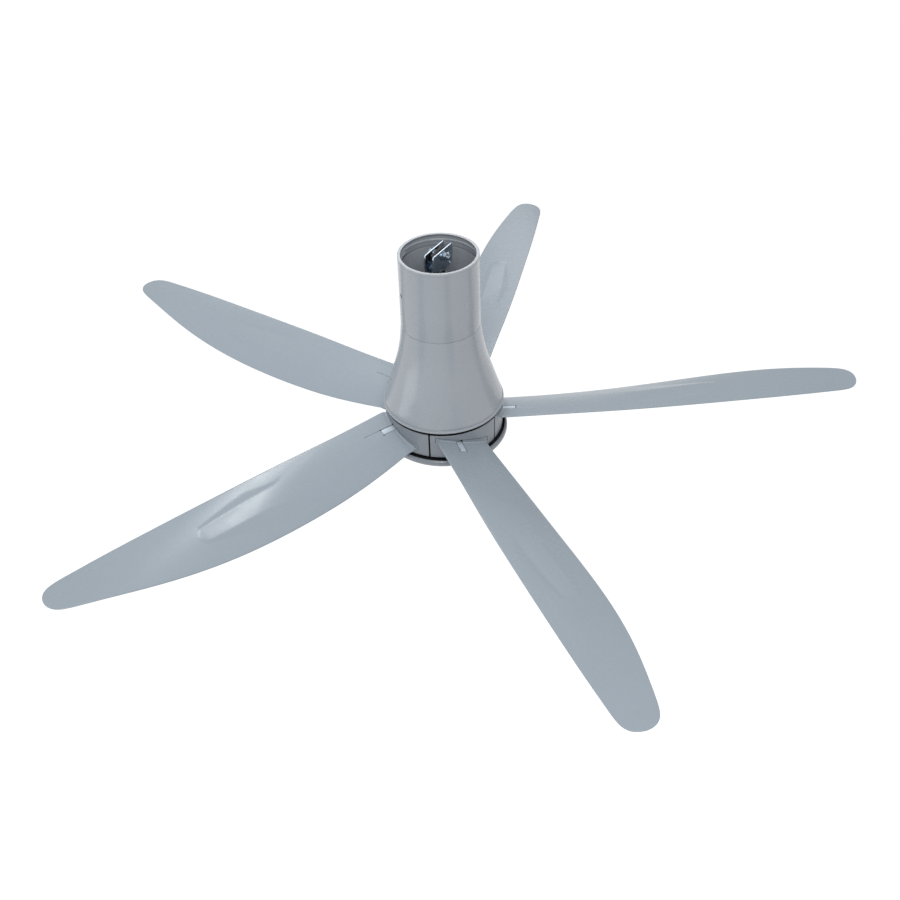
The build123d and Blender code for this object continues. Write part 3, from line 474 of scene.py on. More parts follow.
# Near-black painted shade for the faces deep in the gaps under the bell and between hub and cover
GAP_SHADE = finish("painted_gap_shade_black", (0.016, 0.017, 0.019), 0.6, mottle=0.05, cloud=40.0, grain=1500.0)
LENS = finish("lens_dark", (0.012, 0.008, 0.012), 0.10, mottle=0.1, spread=0.03, depth=0.000002, coat=0.6)
print("finishes", len(bpy.data.materials))

# %% [markdown]
# Three finishes inside the motor have a pattern of their own: the laminated core is a stack of thin
# sheets, the coils are rows of round wire, and the circuit boards carry tracks under green lacquer.

# %% Patterned finishes
def striped(name, dark, light, metallic, roughness, pitch, depth):
    """Level bands, one every pitch metres of height, with a groove between two bands. The wave
    node turns by 20 radians for each unit of height times scale."""
    material, tree, shader, place = new_material(name)
    wave = tree.nodes.new("ShaderNodeTexWave")
    wave.wave_type, wave.bands_direction, wave.wave_profile = "BANDS", "Z", "SIN"
    wave.inputs["Scale"].default_value = 2 * math.pi / pitch / 20
    wave.inputs["Distortion"].default_value = 0.0
    tree.links.new(place, wave.inputs["Vector"])
    factor = wave.outputs["Fac"]
    tree.links.new(tones(tree, factor, dark, light, 0.0, 0.6), shader.inputs["Base Color"])
    tree.links.new(between(tree, noise(tree, place, 60.0), roughness - 0.06, roughness + 0.06),
                   shader.inputs["Roughness"])
    relief(tree, shader, factor, depth)
    shader.inputs["Metallic"].default_value = metallic
    return material


def board_green():
    """Green lacquer with paler tracks, from a thresholded cell pattern."""
    material, tree, shader, place = new_material("board_green")
    cells = tree.nodes.new("ShaderNodeTexVoronoi")
    cells.feature, cells.distance = "DISTANCE_TO_EDGE", "CHEBYCHEV"
    cells.inputs["Scale"].default_value = 220.0
    tree.links.new(place, cells.inputs["Vector"])
    tracks = cells.outputs["Distance"]
    colours = tones(tree, tracks, (0.08, 0.22, 0.09), (0.012, 0.075, 0.03), 0.05, 0.09)
    tree.links.new(colours, shader.inputs["Base Color"])
    tree.links.new(between(tree, noise(tree, place, 80.0), 0.25, 0.38), shader.inputs["Roughness"])
    relief(tree, shader, between(tree, tracks, 1, 0, 0.05, 0.09), 0.00004)
    return material


LAMINATION = striped("lamination", (0.10, 0.10, 0.11), (0.34, 0.35, 0.37), 0.9, 0.42, 0.0005, 0.00003)
COPPER = striped("copper_wire", (0.22, 0.06, 0.015), (0.72, 0.30, 0.10), 1.0, 0.30, 0.0008, 0.0002)
BOARD = board_green()

FINISH_OF_NODE = {
    "upper_canopy": CANOPY, "lower_canopy": CANOPY, "bottom_cover": COVER, "rubber_saddle": RUBBER,
    "hanger_bracket": ZINC, "hanger_bolt": ZINC, "hanger_nut": ZINC, "hanger_washers": ZINC,
    "split_pins": ZINC, "saddle_sleeve": ZINC, "down_pipe": PIPE, "motor_coupling": CASTING,
    "coupling_bolt": ZINC, "coupling_nut": ZINC, "carrier_plate": ZINC, "carrier_screws": ZINC,
    "canopy_screws": ZINC, "control_box": BOX, "control_box_lid": BOX, "box_screws": ZINC,
    "control_board": BOARD, "board_parts": PART_BLACK, "terminal_block": TERMINAL, "motor_shaft": SHAFT,
    "bearing_inner_rings": SHAFT, "bearing_outer_rings": SHAFT, "bearing_balls": BALL,
    "bearing_cages": BRASS, "stator_hub": ROTOR, "stator_core": LAMINATION, "stator_windings": COPPER,
    "lead_bundle": LEAD, "rotor_cup": ROTOR, "rotor_cover": ROTOR, "rotor_cover_screws": ZINC,
    "magnet_ring": MAGNET, "socket_screws": ZINC, "latch_rivets": ZINC, "cover_bracket": ZINC,
    "cover_nut": ZINC, "receiver_board": BOARD, "receiver_lens": LENS,
}
for number, _ in BLADES:
    FINISH_OF_NODE[f"blade_{number}"] = BLADE
    FINISH_OF_NODE[f"blade_socket_{number}"] = HUB
    FINISH_OF_NODE[f"latch_{number}"] = SPRING
for node_name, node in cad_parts.items():
    for holder in node.material_slots:
        holder.material = FINISH_OF_NODE[node_name]
print("finished nodes", len(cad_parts), "unnamed", sorted(set(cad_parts) - set(FINISH_OF_NODE)))

# %% [markdown]
# The upper canopy is a moulded tube that slides over the bell's neck. Its mouth has a flat rim with a
# deep undercut below it, then a bead, and lower down a groove that clears the neck's top. Two
# round holes take the grub screws that hold the tube up. The wall is a turned profile; the holes are
# cut afterwards, with a tool that flares at the surface, so that their edges are rounded too.

# %% Upper canopy
ROUND_STEPS = 192
SEAM_Z, SEAM_RADIUS = -115.0, 68.3
TUBE_BORE, RIM_Z = 65.6, 15.6
TUBE_RADIUS, TUBE_SHOULDER = 67.0, 11.2
MOUTH_RADIUS, UNDERCUT_RADIUS, BEAD_RADIUS = 62.0, 66.2, 64.8
LOCK_HOLE_Z, LOCK_HOLE_RADIUS = -50.0, 4.5
LOCK_HOLE_ANGLES = (142.0, 322.0)
STOP_TAB_START, STOP_TAB_SWEEP = 94.0, 22.0


def upper_canopy():
    """The wall's section carried round the axis, with a stop tab added and two holes drilled."""
    outside = [(TUBE_BORE, SEAM_Z), (SEAM_RADIUS, SEAM_Z), (67.6, -66), (TUBE_RADIUS, TUBE_SHOULDER),
               (TUBE_RADIUS + 0.1, TUBE_SHOULDER), (TUBE_RADIUS + 0.1, RIM_Z)]
    mouth = [(MOUTH_RADIUS, RIM_Z), (MOUTH_RADIUS, RIM_Z - 1.0), (UNDERCUT_RADIUS, RIM_Z - 1.5),
             (UNDERCUT_RADIUS, 5.2), (BEAD_RADIUS, 3.9), (BEAD_RADIUS, 1.8), (TUBE_BORE, 0.6)]
    groove = [(TUBE_BORE, -6.0), (TUBE_BORE + 1, -6.0), (TUBE_BORE + 1, -13), (TUBE_BORE, -13.9)]
    radii = (0.3, 0.5, 0, 0.2, 0.1, 0.7, 0.4, 0.3, 0.3, 0.8, 0.9, 0.9, 0.5, 0.2, 0.2, 0.3, 0.3)
    tube = lathe("upper_canopy", rounded(outside + mouth + groove, radii), ROUND_STEPS)
    tab_section = rounded([(60.5, 0), (66.4, 0), (66.4, 3), (60.5, 3)], 0.5)
    tab = lathe("tab", tab_section, 24, STOP_TAB_START, STOP_TAB_SWEEP)
    return carve(carve(tube, [tab], "UNION"), [lock_drill(angle) for angle in LOCK_HOLE_ANGLES])


def lock_drill(angle):
    """A drill laid along one radius, which flares where it leaves the tube's outside."""
    wider = [(0, 58), (0, 66.9), (0.12, 67.3), (0.5, 67.6), (1.7, 68.6), (1.7, 74)]
    side = [(LOCK_HOLE_RADIUS + more, away) for more, away in wider]
    drill = lathe("drill", [(0, 58), *side, (0, 74)], 48, solid=True)
    return placed(drill, shift(0, 0, LOCK_HOLE_Z), turned(angle, "Z"), turned(90, "Y"))


show("canopy_tube_shell", upper_canopy(), "canopy_tube", CANOPY, ["upper_canopy"])

# %% [markdown]
# The bell below the seam widens in one sweep. One natural spline through eight measured points gives
# the sweep; the same curve drawn in by the wall's thickness gives the inside. The lip is a plain band
# that ends in a small bead, which stiffens a moulded edge and catches a line of light. The neck that
# guides the tube and the shelf that rests on the carrier plate belong to the same moulding.

# %% Lower canopy
BELL_TOP = SEAM_Z - 0.3
BELL_OUTLINE = ((SEAM_RADIUS, BELL_TOP), (71.4, -146), (77, -176), (85.2, -206), (93.1, -231),
                (99.4, -251), (104.4, -266), (106.6, -274.5))
BELL_WALL = 3.0
NECK_BORE, NECK_RADIUS, NECK_TOP = 63.0, 65.0, -7.3
SHELF_INNER, SHELF_LOW, SHELF_HIGH = 80.0, -231.0, -227.0
BAND_Z, LIP_Z = -269.2, -277.0
SCREW_CIRCLE, SCREW_BORE = 84.5, 2.02
SCREW_ANGLES = (90, 210, 330)


def lower_canopy():
    """Down the outer sweep, round the lip, up the inner sweep past the shelf, and round the neck."""
    outer = natural_spline(BELL_OUTLINE, 60)
    outer = outer[outer[:, 1] > BAND_Z + 0.5]
    lip = rounded([outer[-1], (105.2, BAND_Z), (104.6, LIP_Z + 3.4), (107.9, LIP_Z + 2.2), (107.9, LIP_Z),
                   (103.4, LIP_Z), (outer[-1][0] - BELL_WALL, outer[-1][1])],
                  (0, 0.6, 0.3, 0.6, 0.8, 0.8, 0), closed=False, steps=6)
    inner = outer[::-1] - (BELL_WALL, 0)
    below = inner[inner[:, 1] < SHELF_LOW - 0.5]
    above = inner[(inner[:, 1] > SHELF_HIGH + 0.5) & (inner[:, 1] < -140)]
    at = np.interp([SHELF_LOW, SHELF_HIGH], inner[:, 1], inner[:, 0])
    shelf = [(at[0], SHELF_LOW), (SHELF_INNER, SHELF_LOW), (SHELF_INNER, SHELF_HIGH), (at[1], SHELF_HIGH)]
    neck = rounded([above[-1], (NECK_BORE, -129), (NECK_BORE, NECK_TOP), (NECK_BORE + 0.8, NECK_TOP),
                    (NECK_RADIUS, NECK_TOP - 7.5), (NECK_RADIUS, BELL_TOP), outer[0]],
                   (0, 4, 0.3, 0.4, 2.0, 0.3, 0), closed=False)
    profile = np.concatenate([outer, lip, below, shelf, above, neck])
    holes = [prism("hole", circle(SCREW_BORE, *on_circle(SCREW_CIRCLE, angle), count=21), SHELF_LOW - 3,
                   SHELF_HIGH + 3) for angle in SCREW_ANGLES]
    return carve(lathe("lower_canopy", profile, ROUND_STEPS), holes)


show("canopy_bell_shell", lower_canopy(), "hanger", CANOPY, ["lower_canopy"])

# %% [markdown]
# The bottom cover is a shallow tray with a rounded rim that falls inwards again, so that a deep dark
# gap stays under the hub. Its profile starts and ends on the axis, so the two poles close. Three
# hooked posts inside grip the bracket, and a round hole near the rim holds the remote control's lens,
# a dark dome that stands a little proud. The faces of cover and hub that lie deep in the gaps between
# them get a near-black colour: painted shade, which keeps those gaps dark.

# %% Bottom cover and lens
COVER_RADIUS, COVER_TOP, COVER_LOW, COVER_WALL, COVER_MOUTH = 115.0, -334.2, -348.4, 2.4, 93.0
LENS_ANGLE, LENS_CIRCLE, LENS_RADIUS = -147.6, 106.0, 4.0
LENS_PLACE = on_circle(LENS_CIRCLE, LENS_ANGLE)
HOOK_TOP = -332.3


def bottom_cover():
    """Out along the underside, round the rim by an arc, over the lip and back along the inside."""
    bend = (COVER_TOP - COVER_LOW) / 2
    edge, middle = COVER_RADIUS - bend, (COVER_TOP + COVER_LOW) / 2
    a = np.linspace(-math.pi / 2, math.pi / 3, 25)
    arc = np.stack([np.cos(a), np.sin(a)], 1)
    outside, inside = (edge, middle) + bend * arc, (edge, middle) + (bend - COVER_WALL) * arc[12::-1]
    lip = rounded([outside[-1], (110.6, COVER_TOP - 0.7), (107.6, COVER_TOP - 6.8),
                   (COVER_MOUTH, COVER_TOP - 7.6), (COVER_MOUTH, COVER_TOP - 9.0), (106.4, COVER_TOP - 9.0)],
                  (0, 0.5, 1.5, 0.6, 0.6, 0), closed=False)
    section = [(0, COVER_LOW), *outside, *lip, *inside, (0, COVER_LOW + COVER_WALL)]
    hooks = [item for angle in (30, 150, 270) for item in bracket_hook(angle)]
    hole = prism("hole", circle(LENS_RADIUS + 0.05, *LENS_PLACE), COVER_LOW - 1, COVER_LOW + COVER_WALL + 1)
    return carve(carve(lathe("bottom_cover", section, ROUND_STEPS, solid=True), hooks, "UNION"), [hole])


def bracket_hook(angle):
    """A post and the claw at its top, each a hair inside the other's faces so that they join cleanly."""
    post = prism("post", rectangle(60.5, 62.7, -7, 7, 0.4), COVER_LOW + COVER_WALL - 0.5, HOOK_TOP)
    claw = prism("claw", rectangle(57.5, 62.6, -6.9, 6.9, 0.4), HOOK_TOP - 1.6, HOOK_TOP - 0.05)
    return [placed(item, turned(angle, "Z")) for item in (post, claw)]


def lens():
    """A short rod with a well rounded lower end."""
    low, high = COVER_LOW - 1.2, COVER_LOW + COVER_WALL
    corners = [(0, low), (LENS_RADIUS, low), (LENS_RADIUS, high), (0, high)]
    dome = rounded(corners, (0, 2.0, 0.2, 0), steps=8, closed=False)
    return placed(lathe("lens", dome, 48, solid=True), shift(*LENS_PLACE, 0))


tray = show("cover_tray", bottom_cover(), "hanger", COVER, ["bottom_cover"])
# The tray's faces inside the gap under the hub take the near-black painted shade
second_finish(tray, GAP_SHADE, reach=109.9, low=COVER_LOW + COVER_WALL - 0.1)
show("lens_dome", lens(), "hanger", LENS, ["receiver_lens"])

# %% [markdown]
# Blade and hub have to fit one another, so the blade's own surface comes first, as plain functions of
# the distance along it and across it. The pitch and the height change along the blade as cubics, the
# section is a shallow arch, and the thickness goes from nose to middle to trailing edge as a parabola.

# %% The blade's surface
ROOT_RADIUS, SWEEP_RADIUS = 112.0, 750.0
ROOT_Z, ROOT_PITCH = -302.45, 17.8
PITCH_CURVE, RISE_CURVE = (12.7, -60.8, 23.1), (-8.9, 86.0, -57.1)
CAMBER, CAMBER_HALF_CHORD = 5.4, 60.0
LEADING_EDGE = ((112, -46), (200, -41.2), (320, -36.6), (450, -28.7), (570, -19.8), (670, -10.7))
TRAILING_EDGE = ((112, 46.8), (220, 64.9), (330, 78), (430, 86), (520, 87.4), (600, 81.1), (670, 69.3))
TIP_OUTLINE = ((700, -7.4), (722, -4.4), (736, 0.4), (744.5, 8.2), (749, 18.5), (750, 28), (748.4, 37.6),
               (743.3, 46.4), (735, 53), (722, 58), (700, 63.2))


def span_share(x):
    """Share of the way from the root to the tip."""
    return np.maximum(0.0, (x - ROOT_RADIUS) / (SWEEP_RADIUS - ROOT_RADIUS))


def along_span(curve, x):
    """Sum of factors times the first, second and third power of the share of the way to the tip."""
    return sum(factor * span_share(x) ** (power + 1) for power, factor in enumerate(curve))


def blade_top(x, y):
    """Height of the plain upper surface: root height + rise - tan(pitch) * y - camber * (y / 60)^2."""
    slope = np.tan(np.radians(ROOT_PITCH + along_span(PITCH_CURVE, x)))
    return ROOT_Z + along_span(RISE_CURVE, x) - slope * y - CAMBER * (y / CAMBER_HALF_CHORD) ** 2


def blade_thickness(x, t):
    """Parabola through the nose's, the middle's and the trailing edge's thickness; t is 0 to 1."""
    s = span_share(x)
    nose, middle, edge = 3.4 - 1.0 * s, 6.6 - 3.4 * s, 2.4
    return nose * (1 - t) * (1 - 2 * t) + middle * 4 * t * (1 - t) + edge * t * (2 * t - 1)


# %% [markdown]
# Each hub segment is a piece of a thick turned ring, sunk on top behind a thin wall, which leaves a
# dark gap under the bell, darker still from the near-black painted shade on the faces inside it. The
# section's corners are soft, and near both ends of the segment the section is drawn in, so that the end edges
# are rounded too and catch the light. Behind the wall the
# slot is roomy; through the wall it fits the blade closely, and flares over the last half millimetre.
# A fine groove in the wall outlines the insert round the slot: a narrow rectangle carried along it.

# %% Hub segments
HUB_RADIUS, HUB_TOP, HUB_LOW, HUB_INNER = 106.0, -283.6, -332.0, 77.3
HUB_SHELF, HUB_FLOOR, HUB_SKIRT = -289.0, -325.8, 98.3
SEGMENT_START, SEGMENT_SPAN = -31.75, 70.5
SEGMENT_ROUNDING = 0.9
SLOT_Y = (-44.6, 48.6)
SLOT_BACK = 101.0
SLOT_FIT, SLOT_MOUTH, SLOT_POINTS = 0.45, 0.5, 32
SLOT_ROOF_Z, SLOT_ROOF_SLOPE, SLOT_ROOF_ARCH = -296.8, math.radians(14), 4.0
ROOM_CEILING, ROOM_ARCH, ROOM_PEAK_Y = HUB_SHELF - 1.6, 0.002, -45.0
TAB_X, TAB_Y = 80.4, (-42.0, 45.0)
GROOVE_Y = (-47.2, 49.4)
GROOVE_WIDTH, GROOVE_DEPTH, GROOVE_DROP, GROOVE_CORNER = 1.1, 1.8, 11.0, 1.2
LATCH_Y = -7.2
CHANNEL_HALF = 6.3
RIVET_X, RIVET_BOSS, RIVET_BORE = 88.0, 4.4, 1.8
SOCKET_SCREW_CIRCLE, SOCKET_SCREW_ANGLES = 90.0, (-20, 35.5)


def slot_roof(y):
    """Height of the slot's upper edge: a straight slope less a shallow arch."""
    return SLOT_ROOF_Z - math.tan(SLOT_ROOF_SLOPE) * y - SLOT_ROOF_ARCH * (y / CAMBER_HALF_CHORD) ** 2


def room_roof(y):
    """The same behind the wall, held under the shelf by a very flat arch."""
    return np.minimum(slot_roof(y), ROOM_CEILING - ROOM_ARCH * (y - ROOM_PEAK_Y) ** 2)


def segment_body():
    """Section (radius, height) carried round an arc; each end is drawn in over the rounding's length."""
    section = rounded([(HUB_INNER, HUB_FLOOR), (HUB_SKIRT, HUB_FLOOR), (HUB_SKIRT, HUB_LOW),
                       (HUB_RADIUS, HUB_LOW), (HUB_RADIUS, HUB_TOP), (HUB_RADIUS - 2.3, HUB_TOP),
                       (HUB_RADIUS - 3.1, HUB_SHELF), (HUB_INNER, HUB_SHELF)],
                      (0.9, 0.3, 0.9, 1.4, 0.95, 0.95, 0.9, 0.9))
    a = np.linspace(0, math.pi / 2, 5)
    inset = SEGMENT_ROUNDING * (1 - np.cos(a))
    end_angle = np.degrees(SEGMENT_ROUNDING * (1 - np.sin(a)) / HUB_RADIUS)
    middle = np.linspace(1, SEGMENT_SPAN - 1, 64)
    drawn = np.concatenate([inset[::-1], 0 * middle, inset])
    ring = section[None] - drawn[:, None, None] * outline_normals(section)[None]
    stations = np.concatenate([end_angle[::-1], middle, SEGMENT_SPAN - end_angle])
    angle = np.radians(SEGMENT_START + stations)[:, None]
    radius, height = ring[..., 0], ring[..., 1]
    return capped("segment", np.stack([radius * np.cos(angle), radius * np.sin(angle), height], -1))


def wall_tool(outline, deep=70.0, proud=110.0):
    """Cutting tool: the outline (y, height) at radius R stands at x = sqrt(R^2 - y^2), and is drawn
    outwards by a quarter circle over the last part before the hub's surface, if it goes that far."""
    outline = anticlockwise(outline)
    radius, flare = np.array([deep, proud]), np.zeros(2)
    if proud > HUB_RADIUS:
        a = np.linspace(0, math.pi / 2, 6)
        radius = np.concatenate([[deep], HUB_RADIUS - SLOT_MOUTH + SLOT_MOUTH * np.sin(a), [proud]])
        flare = np.concatenate([[0], SLOT_MOUTH * (1 - np.cos(a)), [SLOT_MOUTH * 2]])
    ring = outline[None] + flare[:, None, None] * outline_normals(outline)[None]
    x = np.sqrt(radius[:, None] ** 2 - ring[..., 0] ** 2)
    return capped("slot_tool", np.concatenate([x[..., None], ring], -1))


def slot_outline(ends, roof, fit, radius):
    """Under the blade by the fit, up at both ends, and back along the roof."""
    y = np.linspace(*ends, SLOT_POINTS)
    share = np.clip((y - TAB_Y[0]) / (TAB_Y[1] - TAB_Y[0]), 0, 1)
    floor = blade_top(ROOT_RADIUS, y) - blade_thickness(ROOT_RADIUS, share) - fit
    corners = np.concatenate([np.stack([y, floor], 1), np.stack([y, roof(y)], 1)[::-1]])
    radii = np.zeros(2 * SLOT_POINTS)
    radii[[0, SLOT_POINTS - 1, SLOT_POINTS, -1]] = radius
    return rounded(corners, radii)


def groove_tool():
    """The insert's outline: up from the blade at one end, along the roof and down at the other."""
    y = np.linspace(GROOVE_Y[1], GROOVE_Y[0], 40)
    roof = np.stack([y, slot_roof(y)], 1)
    line = [roof[0] - (0, GROOVE_DROP), *roof, roof[-1] - (0, GROOVE_DROP)]
    line = rounded(line, [0, GROOVE_CORNER, *np.zeros(len(y) - 2), GROOVE_CORNER, 0], closed=False)
    way = np.gradient(line, axis=0)
    normal = np.stack([-way[:, 1], way[:, 0]], 1) / np.linalg.norm(way, axis=1, keepdims=True)
    aside = GROOVE_WIDTH / 2 * np.array([-1, 1, 1, -1])
    radius = HUB_RADIUS + np.array([-GROOVE_DEPTH, -GROOVE_DEPTH, 3, 3])
    flat = line[:, None, :] + aside[None, :, None] * normal[:, None, :]
    x = np.sqrt(radius[None, :, None] ** 2 - flat[..., :1] ** 2)
    return capped("groove", np.concatenate([x, flat], -1))


def tab_roof(y):
    """Over the blade's tab by the fit."""
    return blade_top(ROOT_RADIUS, y) + SLOT_FIT


def hub_segment():
    """The ring's piece, less room, slot, notch for the latch and groove, plus the rivet's boss."""
    low = float(blade_top(ROOT_RADIUS, LATCH_Y)) - 3
    left, right = LATCH_Y - CHANNEL_HALF + 0.4, LATCH_Y + CHANNEL_HALF - 0.4
    notch = rounded([(left, low), (right, low), (right, low + 6.6), (left, low + 6.6)], (0, 0, 0.8, 0.8))
    room = slot_outline(SLOT_Y, room_roof, SLOT_FIT, 1.0)
    slot = slot_outline((TAB_Y[0] - SLOT_FIT, TAB_Y[1] + SLOT_FIT), tab_roof, SLOT_FIT, 0.8)
    socket = carve(segment_body(), [wall_tool(room, proud=SLOT_BACK), wall_tool(slot, deep=95.0),
                                    wall_tool(notch, deep=96.0), groove_tool()])
    boss = placed(prism("boss", circle(RIVET_BOSS), 0.2, 6.2), latch_place(), shift(RIVET_X, 0, 0))
    bore = placed(prism("bore", circle(RIVET_BORE, count=24), -0.2, 7.2), latch_place(), shift(RIVET_X, 0, 0))
    screw = circle(SCREW_BORE, SOCKET_SCREW_CIRCLE, 0, 20)
    holes = [placed(prism("hole", screw, -327, -316.8), turned(a, "Z")) for a in SOCKET_SCREW_ANGLES]
    return carve(carve(socket, [boss], "UNION"), [bore, *holes])


def latch_place():
    """The frame in which the latch lies flat: on the blade's root, X outwards, Z square to the blade."""
    slope = -math.tan(math.radians(ROOT_PITCH)) - 2 * CAMBER * LATCH_Y / CAMBER_HALF_CHORD**2
    height = float(blade_top(ROOT_RADIUS, LATCH_Y))
    return shift(0, LATCH_Y, height) @ turned(math.degrees(math.atan(slope)), "X")


segment = hub_segment()
for number, angle in BLADES:
    ring_part = show(f"hub_segment_{number}", segment, "rotor", HUB,
                     [f"blade_socket_{number}"], turn=angle)
    # The sunk top and inner faces behind the wall take the near-black painted shade
    second_finish(ring_part, GAP_SHADE, reach=HUB_RADIUS - 2.5, low=HUB_LOW + 0.5)

# %% [markdown]
# A blade is two sheets that meet at the outline: one row of points every few millimetres along it,
# and in each row closer points near the edges, where the skin curls round in half a circle. The
# distance to the outline says how far the curl has gone. The upper sheet also carries the blade's
# stiffening shape: a facet with less pitch than the skin, sunk at its leading side and proud at its
# trailing side, which ends in a round nose about two thirds of the way along the sweep.

# %% Blade relief
# The facet's four lines as (distance along, distance across), and its height above the skin
OUTER_LEAD = ((112, -48), (250, -40), (330, -12), (351, -7), (401, -11.9), (438, -3.4), (497, 16),
              (506, 30))
INNER_LEAD = ((112, -47), (250, -38), (330, -10), (351, -4), (402, 2), (497, 17), (506, 31))
INNER_TRAIL = ((112, 36), (390, 36.5), (402, 38), (492, 47.5), (500, 44), (506, 33))
OUTER_TRAIL = ((112, 80), (300, 82), (360, 68), (408, 59), (452, 54.6), (492, 48.6), (500, 45), (506, 34))
LEAD_HEIGHT = ((330, 0), (402, -1.5), (450, -1.5), (497, -0.9), (506, 0))
TRAIL_HEIGHT = ((125, 0), (180, 0.3), (300, 1.1), (400, 2.6), (450, 2.6), (492, 1.6), (506, 0))
COLLAR_RISE, COLLAR_WIDTH, COLLAR_END = 1.3, 2.6, HUB_RADIUS + 2.7


def follow(line, x):
    """Straight from point to point of a line."""
    line = np.asarray(line, float)
    return np.interp(x, line[:, 0], line[:, 1])


def facet_height(x, y):
    """Straight between its four lines: zero, lead height, trail height, zero; zero outside."""
    a, b, c, d = (follow(line, x) for line in (OUTER_LEAD, INNER_LEAD, INNER_TRAIL, OUTER_TRAIL))
    lead, trail = follow(LEAD_HEIGHT, x), follow(TRAIL_HEIGHT, x)
    before = lead * np.clip((y - a) / np.maximum(b - a, 0.1), 0, 1)
    middle = lead + (trail - lead) * (y - b) / np.maximum(c - b, 0.1)
    after = trail * np.clip((d - y) / np.maximum(d - c, 0.1), 0, 1)
    return np.where(y < b, before, np.where(y < c, middle, after))


def softened(height, x, y):
    """Average of the height over a small square of places round each point, which rounds creases."""
    steps = np.linspace(-2.2, 2.2, 5)
    return sum(height(x + dx, y + dy) for dx in steps for dy in steps) / len(steps) ** 2


def collar_height(x, y):
    """Small step up to the hub's wall: rises as a square over the collar's width."""
    return COLLAR_RISE * np.clip((COLLAR_END - np.hypot(x, y)) / COLLAR_WIDTH, 0, 1) ** 2


# %% [markdown]
# The channel for the latch, the deeper pocket for its lip, two small relief holes at the pocket's
# corners and the step that runs on from the channel are cut exactly, after the sheets are joined.
# One blade is cut, and the other four are copies of it, turned to their places.

# %% Blades
SHOULDER_X = (97.0, 103.0)
STRETCH_START, TIP_START = 600.0, 728.0
EDGE_COLUMNS, SKIN_COLUMNS = 6, 76
POCKET_X, POCKET_FLOOR, CHANNEL_FLOOR = (124.8, 130.2), -4.6, -2.1
LATCH_END, STEP_END = 129.0, 164.0


def blade_rows():
    """Stations along the blade: close at the tab's end and the collar, and crowding at the tip."""
    end = TAB_X + 2.6 * (1 - np.cos(np.linspace(0, math.pi / 2, 6)))
    tip = TIP_START + (SWEEP_RADIUS - TIP_START) * np.sin(np.linspace(0, math.pi / 2, 18))
    runs = ((85, 96, 5), (*SHOULDER_X, 5), (103.6, ROOT_RADIUS, 15), (114, 520, 190), (524, 724, 52))
    return np.concatenate([end, *(np.linspace(*run) for run in runs), tip])


def blade_edges(x):
    """Distance across of the leading and the trailing edge: one spline round the whole vane."""
    curve = natural_spline([*LEADING_EDGE, *TIP_OUTLINE, *TRAILING_EDGE[::-1]], 4000)
    tip = int(curve[:, 0].argmax())
    reach = curve[tip, 0]
    stretch = np.clip((x - STRETCH_START) / (SWEEP_RADIUS - STRETCH_START), 0, 1)
    far = x + (reach - SWEEP_RADIUS) * stretch
    lead = np.interp(far, *curve[: tip + 1].T)
    trail = np.interp(far, *curve[:tip - 1:-1].T)
    shoulder = np.clip((x - SHOULDER_X[0]) / (SHOULDER_X[1] - SHOULDER_X[0]), 0, 1)
    return TAB_Y[0] + (lead - TAB_Y[0]) * shoulder, TAB_Y[1] + (trail - TAB_Y[1]) * shoulder


def outline_distance(points, outline):
    """Shortest distance from each point to a closed outline of straight runs."""
    start, run = outline, np.roll(outline, -1, 0) - outline
    length = np.maximum((run**2).sum(1), 1e-12)
    found = []
    for part in np.array_split(points, 40):
        away = part[:, None, :] - start[None]
        t = np.clip((away * run[None]).sum(-1) / length, 0, 1)
        found.append(np.sqrt(((away - t[..., None] * run[None]) ** 2).sum(-1).min(1)))
    return np.concatenate(found)


def blade_body():
    """Two sheets over one outline, at the middle height plus and minus half the thickness times
    sqrt(1 - (1 - d)^2), d being the distance to the outline over half the thickness, at most 1."""
    x = blade_rows()
    lead, trail = blade_edges(x)
    width = trail - lead
    curl = 1 - np.cos(np.linspace(0, math.pi / 2, EDGE_COLUMNS))[:-1]
    near = np.minimum(blade_thickness(x, 0.0) / 2, width / 5)[:, None]
    far = np.minimum(blade_thickness(x, 1.0) / 2, width / 5)[:, None]
    skin = near + (width[:, None] - near - far) * np.linspace(0, 1, SKIN_COLUMNS)[None]
    across = np.concatenate([near * curl, skin, width[:, None] - far * curl[::-1]], 1)
    y = lead[:, None] + across
    share = np.divide(across, width[:, None], out=np.full_like(across, 0.5), where=width[:, None] > 1e-6)
    x = np.broadcast_to(x[:, None], y.shape)
    outline = np.concatenate([np.stack([x[:, 0], y[:, 0]], 1), np.stack([x[:, 0], y[:, -1]], 1)[-2::-1]])
    distance = outline_distance(np.stack([x, y], -1).reshape(-1, 2), outline).reshape(x.shape)
    half = blade_thickness(x, share) / 2
    arch = np.sqrt(1 - (1 - np.clip(distance / half, 0, 1)) ** 2)
    middle = blade_top(x, y) - half
    raised = softened(facet_height, x, y) + collar_height(x, y)
    fade = np.clip(distance / 5, 0, 1)
    top = middle + half * arch + raised * fade * fade * (3 - 2 * fade)
    points = np.stack([np.stack([x, y, top], -1), np.stack([x, y, middle - half * arch], -1)])
    faces = sheet_faces(*x.shape)
    return to_mesh("blade", points, faces, faces[:, ::-1] + x.size)


